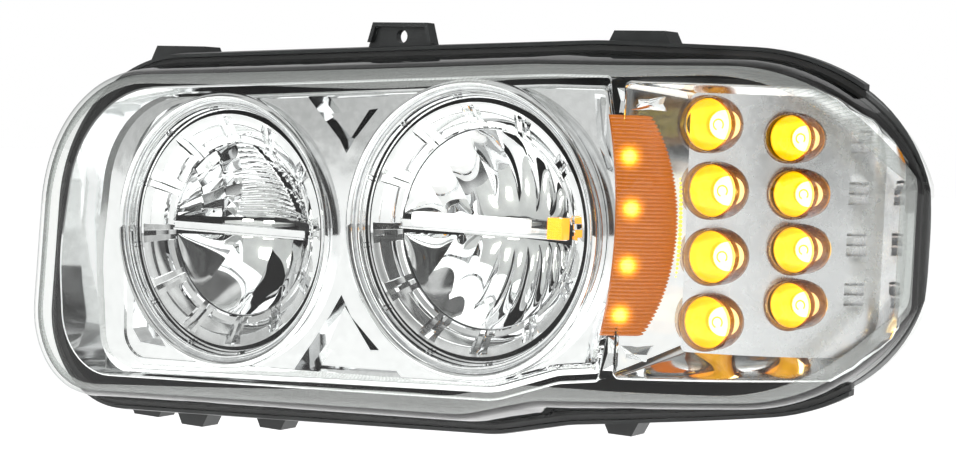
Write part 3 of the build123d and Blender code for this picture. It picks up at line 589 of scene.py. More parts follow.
# Nested outlines of the surround: its left side's x at the top, half way and at the bottom, how far the top
# and the bottom edges lie inside the lens's outline, the depth, and the two left corners' radii.
TERRACES = [
    (-328, -347, -340, 4.5, 4.5, 30, 80, 44),
    (-327, -346.5, -339, 4.7, 4.7, 11, 80, 44),
    (-325, -344, -337, 5.6, 5.6, 10, 80, 43),
    (-310, -328, -317, 7.0, 7.4, 35, 72, 34),
    (-301, -313, -304, 8.6, 8.8, 36, 68, 28),
    (-300.4, -312.4, -303.4, 9.0, 9.6, 11.6, 68, 28),
    (-292, -303, -296, 10.4, 13.0, 9.6, 66, 25),
    (-291.4, -302.4, -295.4, 10.8, 13.6, 8.2, 66, 25),
    (-286, -294, -288, 11.6, 17.0, 8.0, 64, 22),
    (-285.4, -293.4, -287.4, 12.0, 17.6, 6.6, 64, 22),
    (-278, -281, -279, 13.0, 22.4, 6.4, 60, 18),
    (-277, -280, -278, 13.4, 23.0, PANEL_Y, 60, 18),
]


def terrace(left_top, left_middle, left_bottom, top, bottom, y, radius_top, radius_bottom):
    shrink = min(bottom, 15.0)
    corners = [
        (left_top, 80 - top), (45, 98 - top), (85, 98 - top), (101, 4), (85, -87 + shrink),
        (58, -91 + shrink), (15, -106 + shrink), (left_bottom, -126 + bottom), (left_middle, -38),
    ]
    radii = [radius_top, 300, 4, 240, 4, 40, 60, radius_bottom, 150]
    points, _ = rounded(corners, radii, per_corner=14, per_edge=14)
    return [(x, y, z) for x, z in points]


def circle_2d(centre, radius, count=96):
    turns = [math.tau * k / count for k in range(count)]
    return [(centre[0] + radius * math.cos(t), centre[1] + radius * math.sin(t)) for t in turns]


def inside(point, loop):
    """Whether a point lies inside a closed loop of points."""
    x, z = point
    hit = False
    for (x0, z0), (x1, z1) in zip(loop, loop[1:] + loop[:1]):
        if (z0 > z) != (z1 > z) and x < x0 + (z - z0) * (x1 - x0) / (z1 - z0):
            hit = not hit
    return hit


def plate(outline, holes, spacing=None):
    """Triangles that fill an outline around its holes, as (points, faces).

    With a spacing, a grid of extra points inside keeps the triangles small enough to follow a curve.
    """
    points, edges = [], []
    for loop in [outline] + holes:
        start = len(points)
        points.extend(Vector(p) for p in loop)
        edges.extend((start + k, start + (k + 1) % len(loop)) for k in range(len(loop)))
    if spacing:
        xs = [p[0] for p in outline]
        zs = [p[1] for p in outline]
        for x in np.arange(min(xs) + spacing, max(xs), spacing):
            for z in np.arange(min(zs) + spacing, max(zs), spacing):
                if inside((x, z), outline) and not any(inside((x, z), hole) for hole in holes):
                    points.append(Vector((x, z)))
    out_points, _, out_faces, *_ = delaunay_2d_cdt(points, edges, [], 0, 1e-4)
    kept = []
    for face in out_faces:
        middle = sum((out_points[v] for v in face), Vector((0, 0))) / len(face)
        if inside(middle, outline) and not any(inside(middle, hole) for hole in holes):
            kept.append(tuple(face))
    return [tuple(p) for p in out_points], kept


def shrink_loop(loop, amount):
    """A loop moved inwards by an amount, corner by corner."""
    count = len(loop)
    area = sum(a[0] * b[1] - b[0] * a[1] for a, b in zip(loop, loop[1:] + loop[:1]))
    turn = 1 if area > 0 else -1
    moved = []
    for k in range(count):
        before, here, after = (np.array(loop[(k + j) % count], float) for j in (-1, 0, 1))
        d0 = (here - before) / np.linalg.norm(here - before)
        d1 = (after - here) / np.linalg.norm(after - here)
        n0 = np.array((-d0[1], d0[0])) * turn
        n1 = np.array((-d1[1], d1[0])) * turn
        mitre = (n0 + n1) / max(1 + float(n0 @ n1), 0.3)
        moved.append(tuple(here + mitre * amount))
    return moved


HIGH_XZ = (LAMPS["high"].x, LAMPS["high"].z)
RING_OPENING_R = 86.5
POCKET_TAPER = 1.6  # how far a pocket narrows to its floor
ISLAND_TAPER = 1.2
POCKET_PEAK = 4.0  # how far a plain pocket's floor rises to its middle
POCKETS = {
    # name: outer loop, raised island inside it (or none), depth of the pocket's floor, depth of the island
    "top": (
        [(-131, 75.5), (-66, 80.5), (-93, 50), (-99, 41), (-104, 49)],
        [(-116, 66), (-81, 70), (-96.5, 49)], 20.0, 9.5,
    ),
    "bottom": (
        [(-136, -99.5), (-50, -94.5), (-91, -60), (-99, -47), (-107, -60)],
        [(-113, -84), (-74, -80.5), (-97.5, -52)], 22.0, 9.5,
    ),
    "corner": (
        [(-272.5, -40), (-273, -84), (-266, -92.5), (-243, -93.5), (-255, -80), (-268, -58)],
        None, 20.0, 0.0,
    ),
    "outboard_top": ([(76, 82.5), (83, 82), (90.5, 38), (86, 40), (79, 56)], None, 12.0, 0.0),
    "outboard_bottom": ([(77, -72), (84, -76), (91.5, -34), (87, -36), (80, -54)], None, 12.0, 0.0),
}


def chrome_surround():
    """Stepped surround with its flat panel, ring openings and pockets."""
    build = Build()
    rows = [terrace(*numbers) for numbers in TERRACES]
    build.grid(rows, closed=True)
    outline = [(x, z) for x, _, z in rows[-1]]
    holes = [circle_2d((0, 0), RING_OPENING_R), circle_2d(HIGH_XZ, RING_OPENING_R)]
    holes += [outer for outer, _, _, _ in POCKETS.values()]
    points, faces = plate(outline, holes)
    start = len(build.points)
    build.points.extend((x, PANEL_Y, z) for x, z in points)
    build.faces.extend(tuple(start + v for v in face) for face in faces)
    for outer, island, floor_y, island_y in POCKETS.values():
        inner = shrink_loop(outer, POCKET_TAPER)
        rim = [(x, PANEL_Y, z) for x, z in outer]
        low = [(x, floor_y, z) for x, z in inner]
        build.grid([rim, low], closed=True)
        if island is None:
            middle = np.mean(inner, axis=0)
            for a, b in zip(inner, inner[1:] + inner[:1]):
                peak = (middle[0], floor_y - POCKET_PEAK, middle[1])
                build.fill([(a[0], floor_y, a[1]), (b[0], floor_y, b[1]), peak])
            continue
        floor_points, floor_faces = plate(inner, [island])
        start = len(build.points)
        build.points.extend((x, floor_y, z) for x, z in floor_points)
        build.faces.extend(tuple(start + v for v in face) for face in floor_faces)
        foot = [(x, floor_y, z) for x, z in island]
        top = [(x, island_y, z) for x, z in shrink_loop(island, ISLAND_TAPER)]
        build.grid([foot, top], closed=True)
        build.fill(top)
    surround = build.done("chrome_surround", CHROME, slot="chrome", sharp=25)
    thicken(surround, 1.6)
    return surround


def bottom_beads():
    """Two thin raised lines that run along the surround's lower edge."""
    build = Build()
    for drop, y in ((11.0, 14.6), (14.5, 11.6)):
        line = [(x, -126 + 20 * (x + 354) / 369 + drop) for x in np.linspace(-280, 12, 60)]
        rows = []
        for angle in np.linspace(0, math.tau, 9)[:-1]:
            rows.append([(x, y + 0.7 * math.cos(angle), z + 0.7 * math.sin(angle)) for x, z in line])
        rows.append(rows[0])
        build.grid(rows)
    return build.done("surround_beads", CHROME, slot="chrome", sharp=60)


surround = chrome_surround()
bottom_beads()


# ---- lamps ----
TRIM_PROFILE = [
    (88.6, 6.5), (89.0, 3.0), (89.0, -1.5), (88.6, -3.6), (87.7, -5.2), (86.4, -5.95), (85.1, -5.4),
    (84.2, -4.0), (83.9, -2.4), (83.8, -0.2), (83.3, 0.3), (82.9, -0.2), (82.7, -1.6), (82.1, -2.5),
    (81.3, -2.5), (80.7, -1.7), (80.4, 0.0), (80.3, 2.4), (79.9, 2.9), (79.3, 2.6), (79.0, 3.2),
    (78.9, 5.8), (78.1, 6.3), (78.0, 10.0), (81.5, 10.0), (84.5, 7.7), (86.5, 7.7), (88.6, 6.5),
]
MOUTHS = {"low": 60.5, "high": 56.5}
MODULE_R = 75.5
BLOCKS = 12
BLOCK_HALF = math.radians(10.0)


def trim_ring(beam):
    build = Build()
    build.grid(spun(TRIM_PROFILE, LAMPS[beam], 192), closed=True)
    # pairs of small ribs on the inside wall
    cx, cy, cz = LAMPS[beam]
    for k in range(BLOCKS):
        for offset in (-1.0, 1.0):
            angle = math.tau * k / BLOCKS + 0.18 + math.radians(offset)
            out = np.array((math.cos(angle), 0, math.sin(angle)))
            side = np.array((-math.sin(angle), 0, math.cos(angle)))
            base = np.array((cx, cy, cz))
            corners = [(80.6, 0.6), (79.4, 0.6), (78.4, 6.0), (80.6, 6.0)]
            rows = [
                [base + out * r + side * s * 0.35 + np.array((0, y, 0)) for r, y in corners + corners[:1]]
                for s in (-1, 1)
            ]
            build.grid(rows)
            build.fill(rows[0][:-1])
            build.fill(rows[1][:-1][::-1])
    ring = build.done(f"{beam}_ring", RING_CHROME, slot="chrome", sharp=40)
    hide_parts(f"{beam}_trim_ring")
    return ring


def castellated_ring(beam):
    """Conical ring of the moving module, stepped at each of its blocks, with a slot between blocks."""
    mouth = MOUTHS[beam]
    cx, cy, cz = LAMPS[beam]
    width = MODULE_R - mouth

    def step(share, y):
        """A point of a profile: its share of the way in from the rim, and its depth."""
        return (MODULE_R - share * width, y)

    outside = (MODULE_R, 4.0)
    mouth_edge = (mouth, 18.0)
    cone = [
        outside, (MODULE_R - 1.5, 4.2), step(0.36, 8.2), step(0.37, 8.3), step(0.42, 9.0), step(0.72, 12.3),
        step(0.73, 12.4), step(0.80, 13.2), (mouth + 0.8, 15.4), (mouth, 16.2), mouth_edge,
    ]
    raised = [
        outside, (MODULE_R - 1.5, 4.1), step(0.34, 5.2), step(0.37, 6.1), step(0.42, 6.8), step(0.70, 10.1),
        step(0.72, 10.6), step(0.76, 14.2), (mouth + 0.8, 15.0), (mouth, 16.2), mouth_edge,
    ]
    slot = [
        outside, (MODULE_R - 1.5, 4.4), step(0.36, 10.6), step(0.38, 10.8), step(0.42, 11.4),
        step(0.72, 14.6), step(0.73, 14.8), step(0.80, 15.6), (mouth + 0.8, 16.8), (mouth, 17.0), mouth_edge,
    ]
    angles, kinds = [], []
    pitch = math.tau / BLOCKS
    eps = math.radians(0.25)
    for k in range(BLOCKS):
        middle = math.radians(20) + pitch * k
        for a in np.linspace(-BLOCK_HALF, BLOCK_HALF, 9):
            angles.append(middle + a)
            kinds.append(raised)
        for a, kind in (
            (BLOCK_HALF + eps, cone), (pitch / 2 - 0.026, cone), (pitch / 2 - 0.022, slot),
            (pitch / 2 + 0.022, slot), (pitch / 2 + 0.026, cone), (pitch - BLOCK_HALF - eps, cone),
        ):
            angles.append(middle + a)
            kinds.append(kind)
    rows = []
    for level_index in range(len(cone)):
        line = []
        for angle, kind in zip(angles, kinds):
            radius, y = kind[level_index]
            line.append((cx + radius * math.cos(angle), cy + y, cz + radius * math.sin(angle)))
        rows.append(line)
    # the back rim's points sit at the same angles as the rows in front
    rows.append([(cx + MODULE_R * math.cos(a), cy + 18.0, cz + MODULE_R * math.sin(a)) for a in angles])
    rows.append(rows[0])
    build = Build()
    build.grid(rows, closed=True)
    ring = build.done(f"{beam}_blocks", REFLECTOR, body=f"{beam}_module", slot="reflector_chrome", sharp=22)
    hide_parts(f"{beam}_castellated_ring")
    return ring


BOWL_BACK = 54.0
BOWL_FRONT = 18.0
BAR_GAP = 6.5


def bowl_y(beam, x, z):
    """Depth of the reflector's bowl, from the lamp's axis."""
    share = min((x * x + z * z) / MOUTHS[beam] ** 2, 1.0)
    return BOWL_BACK - (BOWL_BACK - BOWL_FRONT) * share ** 0.9


def fan_reflector(beam, name, side, splits, bulge, node, steps=10, rise=26, twist=0.0):
    """Half a bowl in curved upright facets that fan out from the bar. splits share the width out."""
    cx, cy, cz = LAMPS[beam]
    mouth = MOUTHS[beam] - 0.2
    half = math.sqrt(mouth ** 2 - BAR_GAP ** 2)
    build = Build()
    start_angle = math.acos(half / mouth)
    for left, right in zip(splits, splits[1:]):
        rows = []
        for s in np.linspace(0, 1, steps + 1):
            share = left + (right - left) * s
            line = []
            for t in np.linspace(0, 1, rise + 1):
                base_x = half * (-1 + 2 * share)
                angle = math.pi - start_angle - (math.pi - 2 * start_angle) * share
                rim_x, rim_z = mouth * math.cos(angle), mouth * math.sin(angle)
                x = base_x + (rim_x - base_x) * t + twist * math.sin(math.pi * t)
                z = BAR_GAP + (rim_z - BAR_GAP) * t
                size = math.hypot(x, z)
                if size > mouth:
                    x, z = x * mouth / size, z * mouth / size
                height = bulge * (right - left) * 8
                swell = height * (1 - (2 * s - 1) ** 2) * math.sin(math.pi * min(t + 0.04, 1.0))
                line.append((cx + x, cy + bowl_y(beam, x, z) - swell, cz + side * z))
            rows.append(line)
        build.grid(rows)
    half_bowl = build.done(name, REFLECTOR, body=f"{beam}_module", slot="reflector_chrome", sharp=12)
    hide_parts(node)
    thicken(half_bowl, 1.2)
    return half_bowl


def panel_reflector(beam, name, node):
    """Upper half of the high beam: a fluted triangle between columns of small flat facets."""
    cx, cy, cz = LAMPS[beam]
    mouth = MOUTHS[beam] - 0.2
    half = math.sqrt(mouth ** 2 - BAR_GAP ** 2)
    build = Build()
    tilt = random.Random(7)

    def at(share, t, lift=0.0):
        base_x = half * (-1 + 2 * share)
        start_angle = math.acos(half / mouth)
        angle = math.pi - start_angle - (math.pi - 2 * start_angle) * (0.5 + (share - 0.5) * 0.86)
        rim_x, rim_z = mouth * math.cos(angle), mouth * math.sin(angle)
        x = base_x + (rim_x - base_x) * t ** 1.15
        z = BAR_GAP + (rim_z - BAR_GAP) * t
        size = math.hypot(x, z)
        if size > mouth:
            x, z = x * mouth / size, z * mouth / size
        return (cx + x, cy + bowl_y(beam, x, z) - lift, cz + z)

    flutes = 15
    panel = (0.27, 0.76)
    apex = (0.47, 0.56)
    rows = []
    for step in range(flutes * 6 + 1):
        t = step / (flutes * 6)
        swell = 1.0 * abs(math.sin(math.pi * flutes * t)) + 3.0
        left = panel[0] + (apex[0] - panel[0]) * t
        right = panel[1] + (apex[1] - panel[1]) * t
        rows.append([at(left + (right - left) * s, t, swell) for s in np.linspace(0, 1, 9)])
    build.grid(rows)
    columns = [(0.0, 0.10), (0.10, 0.19), (0.19, 0.27), (0.76, 0.86), (0.86, 0.93), (0.93, 1.0)]
    for c, (left, right) in enumerate(columns):
        for level_index in range(6):
            t0, t1 = level_index / 6, (level_index + 1) / 6

            def edge_share(share, t):
                """Columns next to the fluted triangle lean in with it."""
                if share <= panel[0]:
                    return share * (1 + (apex[0] / panel[0] - 1) * t)
                return 1 - (1 - share) * (1 + ((1 - apex[1]) / (1 - panel[1]) - 1) * t)

            lifts = [tilt.uniform(0.0, 1.3) for _ in range(4)]
            if (c + level_index) % 2:
                lifts = [v + w for v, w in zip(lifts, (0.0, 0.0, 2.4, 2.4))]
            quad = []
            for i, t in enumerate((t0, t0 * 0.5 + t1 * 0.5, t1)):
                quad.append([
                    at(edge_share(left, t), t, lifts[0] * (1 - i / 2) + lifts[2] * i / 2),
                    at(edge_share((left + right) / 2, t), t, sum(lifts) / 4),
                    at(edge_share(right, t), t, lifts[1] * (1 - i / 2) + lifts[3] * i / 2),
                ])
            build.grid(quad)
    half_bowl = build.done(
        name, REFLECTOR, body=f"{beam}_module", slot="reflector_chrome", sharp=8, weld=0.0005,
    )
    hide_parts(node)
    thicken(half_bowl, 1.0)
    return half_bowl


def box_rows(x0, x1, y0, y1, z0, z1):
    """A closed box as rows for Build.grid, open at both ends."""
    ring = [(y0, z0), (y0, z1), (y1, z1), (y1, z0), (y0, z0)]
    return [[(x, y, z) for y, z in ring] for x in (x0, x1)]


def block(build, x0, x1, y0, y1, z0, z1):
    rows = box_rows(x0, x1, y0, y1, z0, z1)
    build.grid(rows)
    build.fill(rows[0][:-1])
    build.fill(rows[1][:-1][::-1])
    return build


def cross_bar(beam):
    """Thin level bar with a raised lip above and below its front edge."""
    cx, cy, cz = LAMPS[beam]
    reach = MOUTHS[beam] - 1.5
    build = Build()
    block(build, cx - reach, cx + reach, cy + 14, cy + 24, cz - 2.2, cz + 2.2)
    block(build, cx - reach, cx + reach, cy + 12.6, cy + 15, cz + 1.6, cz + 3.0)
    block(build, cx - reach, cx + reach, cy + 12.6, cy + 15, cz - 3.0, cz - 1.6)
    block(build, cx - 22, cx + 22, cy + 24, cy + 50, cz - 3.0, cz + 3.0)
    bar = build.done(f"{beam}_bar", RING_CHROME, body=f"{beam}_module", slot="dark_aluminium")
    soften(bar, 0.35)
    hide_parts(f"{beam}_cross_bar")
    return bar


for beam in LAMPS:
    trim_ring(beam)
    castellated_ring(beam)
    cross_bar(beam)
fan_reflector(
    "low", "low_upper_bowl", 1, [0, 0.16, 0.27, 0.40, 0.52, 0.63, 0.74, 0.87, 1.0], 1.6,
    "low_upper_reflector",
)
fan_reflector(
    "low", "low_lower_bowl", -1, [0, 0.2, 0.31, 0.42, 0.5, 0.58, 0.66, 0.74, 0.82, 0.9, 1.0], 1.8,
    "low_lower_reflector",
)
panel_reflector("high", "high_upper_bowl", "high_upper_reflector")
fan_reflector("high", "high_lower_bowl", -1, [0, 0.27, 0.5, 0.68, 0.84, 1.0], 1.0, "high_lower_reflector")


# ---- light guide, its clear end and the amber prism ----
GUIDE_WHITE = glow("guide_white", (1.0, 1.0, 0.98), 0.72, (0.9, 0.9, 0.9), roughness=0.25)
PRISM_AMBER = glow("prism_amber", (1.0, 0.42, 0.02), 0.85, (0.9, 0.45, 0.03), roughness=0.08)


def light_guide():
    """White blade: a flat upper face and a sloping lower face that meet in a soft edge."""
    low, high = (local(corner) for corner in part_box("light_guide"))
    section = [
        (high.y, low.z), (low.y + 3.5, low.z), (low.y + 0.8, low.z + 1.6), (low.y, low.z + 3.2),
        (low.y, high.z - 1.6), (low.y + 1.2, high.z - 0.3), (low.y + 2.6, high.z), (high.y, high.z),
    ]
    build = Build()
    rows = [[(x, y, z) for y, z in section + section[:1]] for x in (low.x, high.x)]
    build.grid(rows)
    build.fill(rows[0][:-1])
    build.fill(rows[1][:-1][::-1])
    guide = build.done("white_guide", GUIDE_WHITE, body="low_module", slot="white_diffuser")
    soften(guide, 0.45, 3)
    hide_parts("light_guide")
    return guide


def guide_end():
    """Clear end block with a chevron-shaped prism cut into its front."""
    low, high = (local(corner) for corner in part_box("guide_end"))
    middle_z = (low.z + high.z) / 2
    build = Build()
    xs = [low.x, low.x + 3, low.x + 7, low.x + 11, high.x]
    fronts = [0.0, 2.2, 0.4, 3.0, 0.2]
    section_rows = []
    for x, cut in zip(xs, fronts):
        section_rows.append([
            (x, high.y, low.z), (x, low.y + 1.2, low.z), (x, low.y + cut * 0.5, low.z + 1.4),
            (x, low.y + cut, middle_z), (x, low.y + cut * 0.5, high.z - 1.4), (x, low.y + 1.2, high.z),
            (x, high.y, high.z), (x, high.y, low.z),
        ])
    build.grid(section_rows)
    build.fill(section_rows[0][:-1])
    build.fill(section_rows[-1][:-1][::-1])
    end = build.done("clear_guide_end", END_CLEAR, body="low_module", slot="clear_optic", sharp=15)
    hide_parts("guide_end")
    return end


def amber_prism():
    """Amber block with a field of small pyramids on its front."""
    low, high = (local(corner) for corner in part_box("amber_prism"))
    across, up = 7, 9
    build = Build()
    block(build, low.x, high.x, low.y + 0.9, high.y, low.z, high.z)
    for i in range(across):
        for j in range(up):
            x0 = low.x + (high.x - low.x) * i / across
            x1 = low.x + (high.x - low.x) * (i + 1) / across
            z0 = low.z + (high.z - low.z) * j / up
            z1 = low.z + (high.z - low.z) * (j + 1) / up
            base = [(x, low.y + 0.9, z) for x, z in ((x0, z0), (x1, z0), (x1, z1), (x0, z1))]
            tip = ((x0 + x1) / 2, low.y + 0.05, (z0 + z1) / 2)
            start = len(build.points)
            build.points.extend(base + [tip])
            build.faces.extend([(start + k, start + (k + 1) % 4, start + 4) for k in range(4)])
    prism = build.done(
        "amber_block", PRISM_AMBER, body="low_module", slot="amber_lens", sharp=15, weld=0.0001,
    )
    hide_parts("amber_prism")
    return prism


light_guide()
guide_end()
amber_prism()


# ---- turn signal bay ----
PLATE_CENTRE = (102.2, 155.0)
PLATE_R = 136.0
PLATE_FROM, PLATE_TO = 12.0, 61.0
PLATE_Z = (-61.0, 85.0)


def plate_point(angle, z, lift=0.0):
    """A point on the turn signal's curved plate, lifted towards the lens."""
    turn = math.radians(angle)
    radius = PLATE_R + lift
    return (PLATE_CENTRE[0] + radius * math.sin(turn), PLATE_CENTRE[1] - radius * math.cos(turn), z)


def lamps_of_plate():
    """Centre and mouth radius of each turn signal lamp, from the domes' nodes."""
    lamps = []
    for number in range(1, 9):
        low, high = (local(corner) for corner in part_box(f"turn_lens_{number}"))
        middle = (low + high) / 2
        lamps.append((number, middle.x, low.y, middle.z, (high.x - low.x) / 2))
    return lamps


TURN_LAMPS = lamps_of_plate()
NOTCHES = [(53.5, z) for z in (61, 32, 3, -25)]  # degrees round the plate, height
NOTCH_W, NOTCH_H = 5.4, 13.0  # degrees, millimetres
NOTCH_DEPTH = 7.0
PLATE_GRID = 4.0


def turn_plate():
    """Curved satin plate with round openings for the lamps and four notches near its outboard edge."""
    low_z, high_z = PLATE_Z
    corners = [(PLATE_FROM, high_z), (PLATE_TO, high_z), (PLATE_TO, low_z), (PLATE_FROM, low_z)]
    scale = PLATE_R * math.pi / 180
    flat = [(a * scale, z) for a, z in corners]
    outline, _ = rounded(flat, [4, 38, 26, 4], per_corner=12, per_edge=30)
    outline = [tuple(p) for p in outline]
    holes = []
    for _, x, y, z, radius in TURN_LAMPS:
        loop = []
        for cx_, cz_ in circle_2d((x, z), radius + 0.6, 64):
            angle = math.degrees(math.asin((cx_ - PLATE_CENTRE[0]) / PLATE_R))
            loop.append((angle * scale, cz_))
        holes.append(loop)
    for angle, z in NOTCHES:
        half_w, half_h = NOTCH_W * scale / 2, NOTCH_H / 2
        c = angle * scale
        left, right, low, high = c - half_w, c + half_w, z - half_h, z + half_h
        holes.append([(left, low), (right, low), (right, high), (left, high)])
    points, faces = plate(outline, holes, PLATE_GRID)
    build = Build()
    build.points = [plate_point(p[0] / scale, p[1]) for p in points]
    build.faces = faces
    for angle, z in NOTCHES:
        half_w, half_h = NOTCH_W / 2, NOTCH_H / 2
        loop = [(angle - half_w, z - half_h), (angle + half_w, z - half_h), (angle + half_w, z + half_h),
                (angle - half_w, z + half_h)]
        front = [plate_point(a, zz) for a, zz in loop]
        deep = [plate_point(a, zz, -NOTCH_DEPTH) for a, zz in loop]
        build.grid([front, deep], closed=True)
        build.fill(deep)
    face = build.done("satin_plate", SATIN, slot="satin_chrome", sharp=30)
    thicken(face, 1.2)
    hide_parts("turn_plate")
    return face


def notch_fins():
    """Level fins and an upright edge in each of the plate's notches."""
    build = Build()
    for angle, z in NOTCHES:
        for offset in (-1.2, 4.4):
            rows = []
            for a in (angle - NOTCH_W / 2, angle + NOTCH_W / 2):
                line = [
                    plate_point(a, z + offset - 0.5, -6.6), plate_point(a, z + offset - 0.5, -0.6),
                    plate_point(a, z + offset + 0.5, -0.6), plate_point(a, z + offset + 0.5, -6.6),
                ]
                rows.append(line + line[:1])
            build.grid(rows)
    return build.done("notch_fins", SATIN, slot="satin_chrome")


SHELL_SKIN = Skin(-BEZEL_GAP)
SKIRT_OUT = 4.0  # how far the tray's skirt spreads under the lens's edge


LIMIT_SKIN = Skin(-LENS_T - 1.6)
BAY_MIDDLE = (160.0, 8.0)
TRAY_BACK = 88.0  # the housing narrows behind this, so the tray ends before it


def held_inside(point):
    """A point of the tray's rim, drawn towards the bay's middle until it lies inside the lens."""
    x, y, z = point
    y = min(y, TRAY_BACK)
    loop = [(p[0], p[2]) for p in (LIMIT_SKIN.wall(k, y) for k in range(0, LIMIT_SKIN.count, 3))]
    for _ in range(80):
        if inside((x, z), loop) and LIMIT_SKIN.face_y(x) < y:
            break
        x += (BAY_MIDDLE[0] - x) * 0.015
        z += (BAY_MIDDLE[1] - z) * 0.015
    return (x, y, z)


def bay_frame():
    """Bright tray round the turn signal: from a rim just inside the lens back to the curved plate."""
    scale = PLATE_R * math.pi / 180
    low_z, high_z = PLATE_Z
    first, last = PLATE_FROM * scale, PLATE_TO * scale
    flat = [(first, high_z), (last, high_z), (last, low_z), (first, low_z)]
    inner, _ = rounded(flat, [4, 38, 26, 4], per_corner=12, per_edge=30)
    inner = [plate_point(a / scale, z) for a, z in inner]
    # the rim follows the lens: its corners sit above, below and outboard of the plate's
    u_in, u_out = SHELL_SKIN.along(104), SHELL_SKIN.along(237.5)
    rim_flat = [(u_in, 89.0), (u_out, 89.0), (u_out, -68.0), (u_in, -76.5)]
    rim, _ = rounded(rim_flat, [3, 66, 58, 3], per_corner=12, per_edge=30)
    outer = []
    for u, z in rim:
        x, y, z = SHELL_SKIN.face(u, z)
        outer.append(held_inside((x - 2.0, min(y + 9.0, TRAY_BACK - 4.0), z)))
    rows = []
    for s in (0, 0.12, 0.3, 0.5, 0.72, 0.9, 1.0):
        ease = s ** 1.25
        rows.append([
            tuple(o[axis] + (i[axis] - o[axis]) * (s if axis == 1 else ease) for axis in range(3))
            for o, i in zip(outer, inner)
        ])
    skirt = []
    for x, y, z in outer:
        out = np.array((max(x - 190.0, 0.0) / 50.0, (z - 8.0) / 85.0))
        out = out / max(float(np.linalg.norm(out)), 0.3) * SKIRT_OUT
        skirt.append(held_inside((x + out[0], y + 14, z + out[1])))
    lip = [(x, y - 0.8, z) for x, y, z in outer]
    build = Build()
    build.grid([skirt, lip] + rows, closed=True)
    tray = build.done("bay_frame", CHROME, slot="chrome", sharp=35)
    thicken(tray, 1.2)
    return tray


def turn_collars():
    """Thin clear tubes round the lamps, each with a rolled front edge."""
    build = Build()
    for _, x, y, z, radius in TURN_LAMPS:
        profile = [
            (radius + 0.1, 22.0), (radius + 0.1, 1.0), (radius + 0.15, -0.6), (radius + 0.7, -1.0),
            (radius + 1.3, -0.6), (radius + 1.4, 0.4), (radius + 1.4, 22.0),
        ]
        build.grid(spun(profile + profile[:1], (x, y, z), 56), closed=True)
    collars = build.done("clear_collars", COLLAR_CLEAR, slot="clear_collar", sharp=50)
    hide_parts("turn_collars")
    return collars


# the turn lamps' cups: gold, with painted light, a glow that stands in for the LED's light each cup reflects
CUP_PAINTED_GLOW = glow("cup_painted_glow", (1.0, 0.56, 0.0), 0.86, (0.50, 0.26, 0.01), roughness=0.22, metallic=0.3)
HOT = glow("hot_dome", (1.0, 0.96, 0.55), 5.0, (1.0, 0.95, 0.6), roughness=0.2)
LIT_CHIP = glow("lit_chip", (1.0, 0.78, 0.05), 1.1, (1.0, 0.8, 0.1), roughness=0.2)


def turn_lamp(number, x, y, z, radius):
    """One lamp: a clear domed cap, the bright cup behind it and the primary lens over its LED."""
    cap = Build()
    dome = [(0.01, 0.0), (radius * 0.35, 0.4), (radius * 0.65, 1.4), (radius * 0.88, 3.0), (radius, 4.6)]
    under = [(r * 0.97, depth + 1.2) for r, depth in dome[::-1]]
    cap.grid(spun(dome + [(radius, 6.2)] + under[:-1] + [(0.01, 1.2)], (x, y, z), 56), closed=True)
    cap = cap.done(f"turn_cap_{number}", DOME_CLEAR, slot="lit_amber_lens", sharp=60)
    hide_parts(f"turn_lens_{number}")
    cup = Build()
    profile = [
        (radius - 0.1, 4.8), (radius - 0.5, 6.5), (radius * 0.93, 10.0), (radius * 0.80, 15.0),
        (radius * 0.62, 18.6), (radius * 0.5, 19.4), (0.01, 19.6),
    ]
    cup.grid(spun(profile, (x, y, z), 56), closed=True)
    # the cup's glow is painted light, in place of the LED's light that it reflects
    cup = cup.done(f"turn_cup_{number}", CUP_PAINTED_GLOW, slot="lit_amber_lens", sharp=50)
    thicken(cup, 0.8)
    heart = Build()
    bulb = radius * 0.56
    shift = radius * 0.28
    profile = [(bulb, 19.2)] + [
        (bulb * math.cos(a) + 0.01, 16.0 - bulb * 0.95 * math.sin(a)) for a in np.linspace(0, math.pi / 2, 9)
    ]
    heart.grid(spun(profile, (x + shift, y, z), 40), closed=True)
    heart = heart.done(f"turn_primary_{number}", HOT, slot="lit_amber_lens", sharp=50)
    # the LED's bond ring, seen as a small broken ring on the primary lens
    bond = Build()
    rows = []
    top = 16.0 - bulb * 0.95 - 0.15
    for a in np.linspace(math.radians(-40), math.radians(250), 26):
        line = []
        for b in np.linspace(0, math.tau, 7)[:-1]:
            r = bulb * 0.36 + 0.45 * math.cos(b)
            depth = top + 0.3 + 0.45 * math.sin(b)
            line.append((x + shift + r * math.cos(a), y + depth, z + r * math.sin(a)))
        rows.append(line + line[:1])
    bond.grid(rows)
    bond.fill(rows[0][:-1])
    bond.fill(rows[-1][:-1][::-1])
    return bond.done(f"turn_bond_{number}", LIT_CHIP, slot="amber_led", sharp=60)


# ---- amber side marker ----
MARKER_FROM = (101.0, -9.0)
MARKER_TO = (125.6, 18.6)
MARKER_Z = (-53.0, 71.0)
MARKER_BOW = 7.0
RIB_PITCH = 2.1


def marker_x(along, z, depth=0.0):
    """Point of the marker's front; it bows outboard at mid height."""
    middle = (MARKER_Z[0] + MARKER_Z[1]) / 2
    half = (MARKER_Z[1] - MARKER_Z[0]) / 2
    bow = MARKER_BOW * (1 - ((z - middle) / half) ** 2) - 4.0
    run = np.array((MARKER_TO[0] - MARKER_FROM[0], MARKER_TO[1] - MARKER_FROM[1]))
    facing = np.array((run[1], -run[0])) / np.linalg.norm(run)
    bulge = 2.2 * math.sin(math.pi * min(max(along, 0), 1))
    p = np.array(MARKER_FROM) + run * along + facing * (bulge - depth - 2.5) + np.array((bow, 0))
    return (p[0], p[1], z)


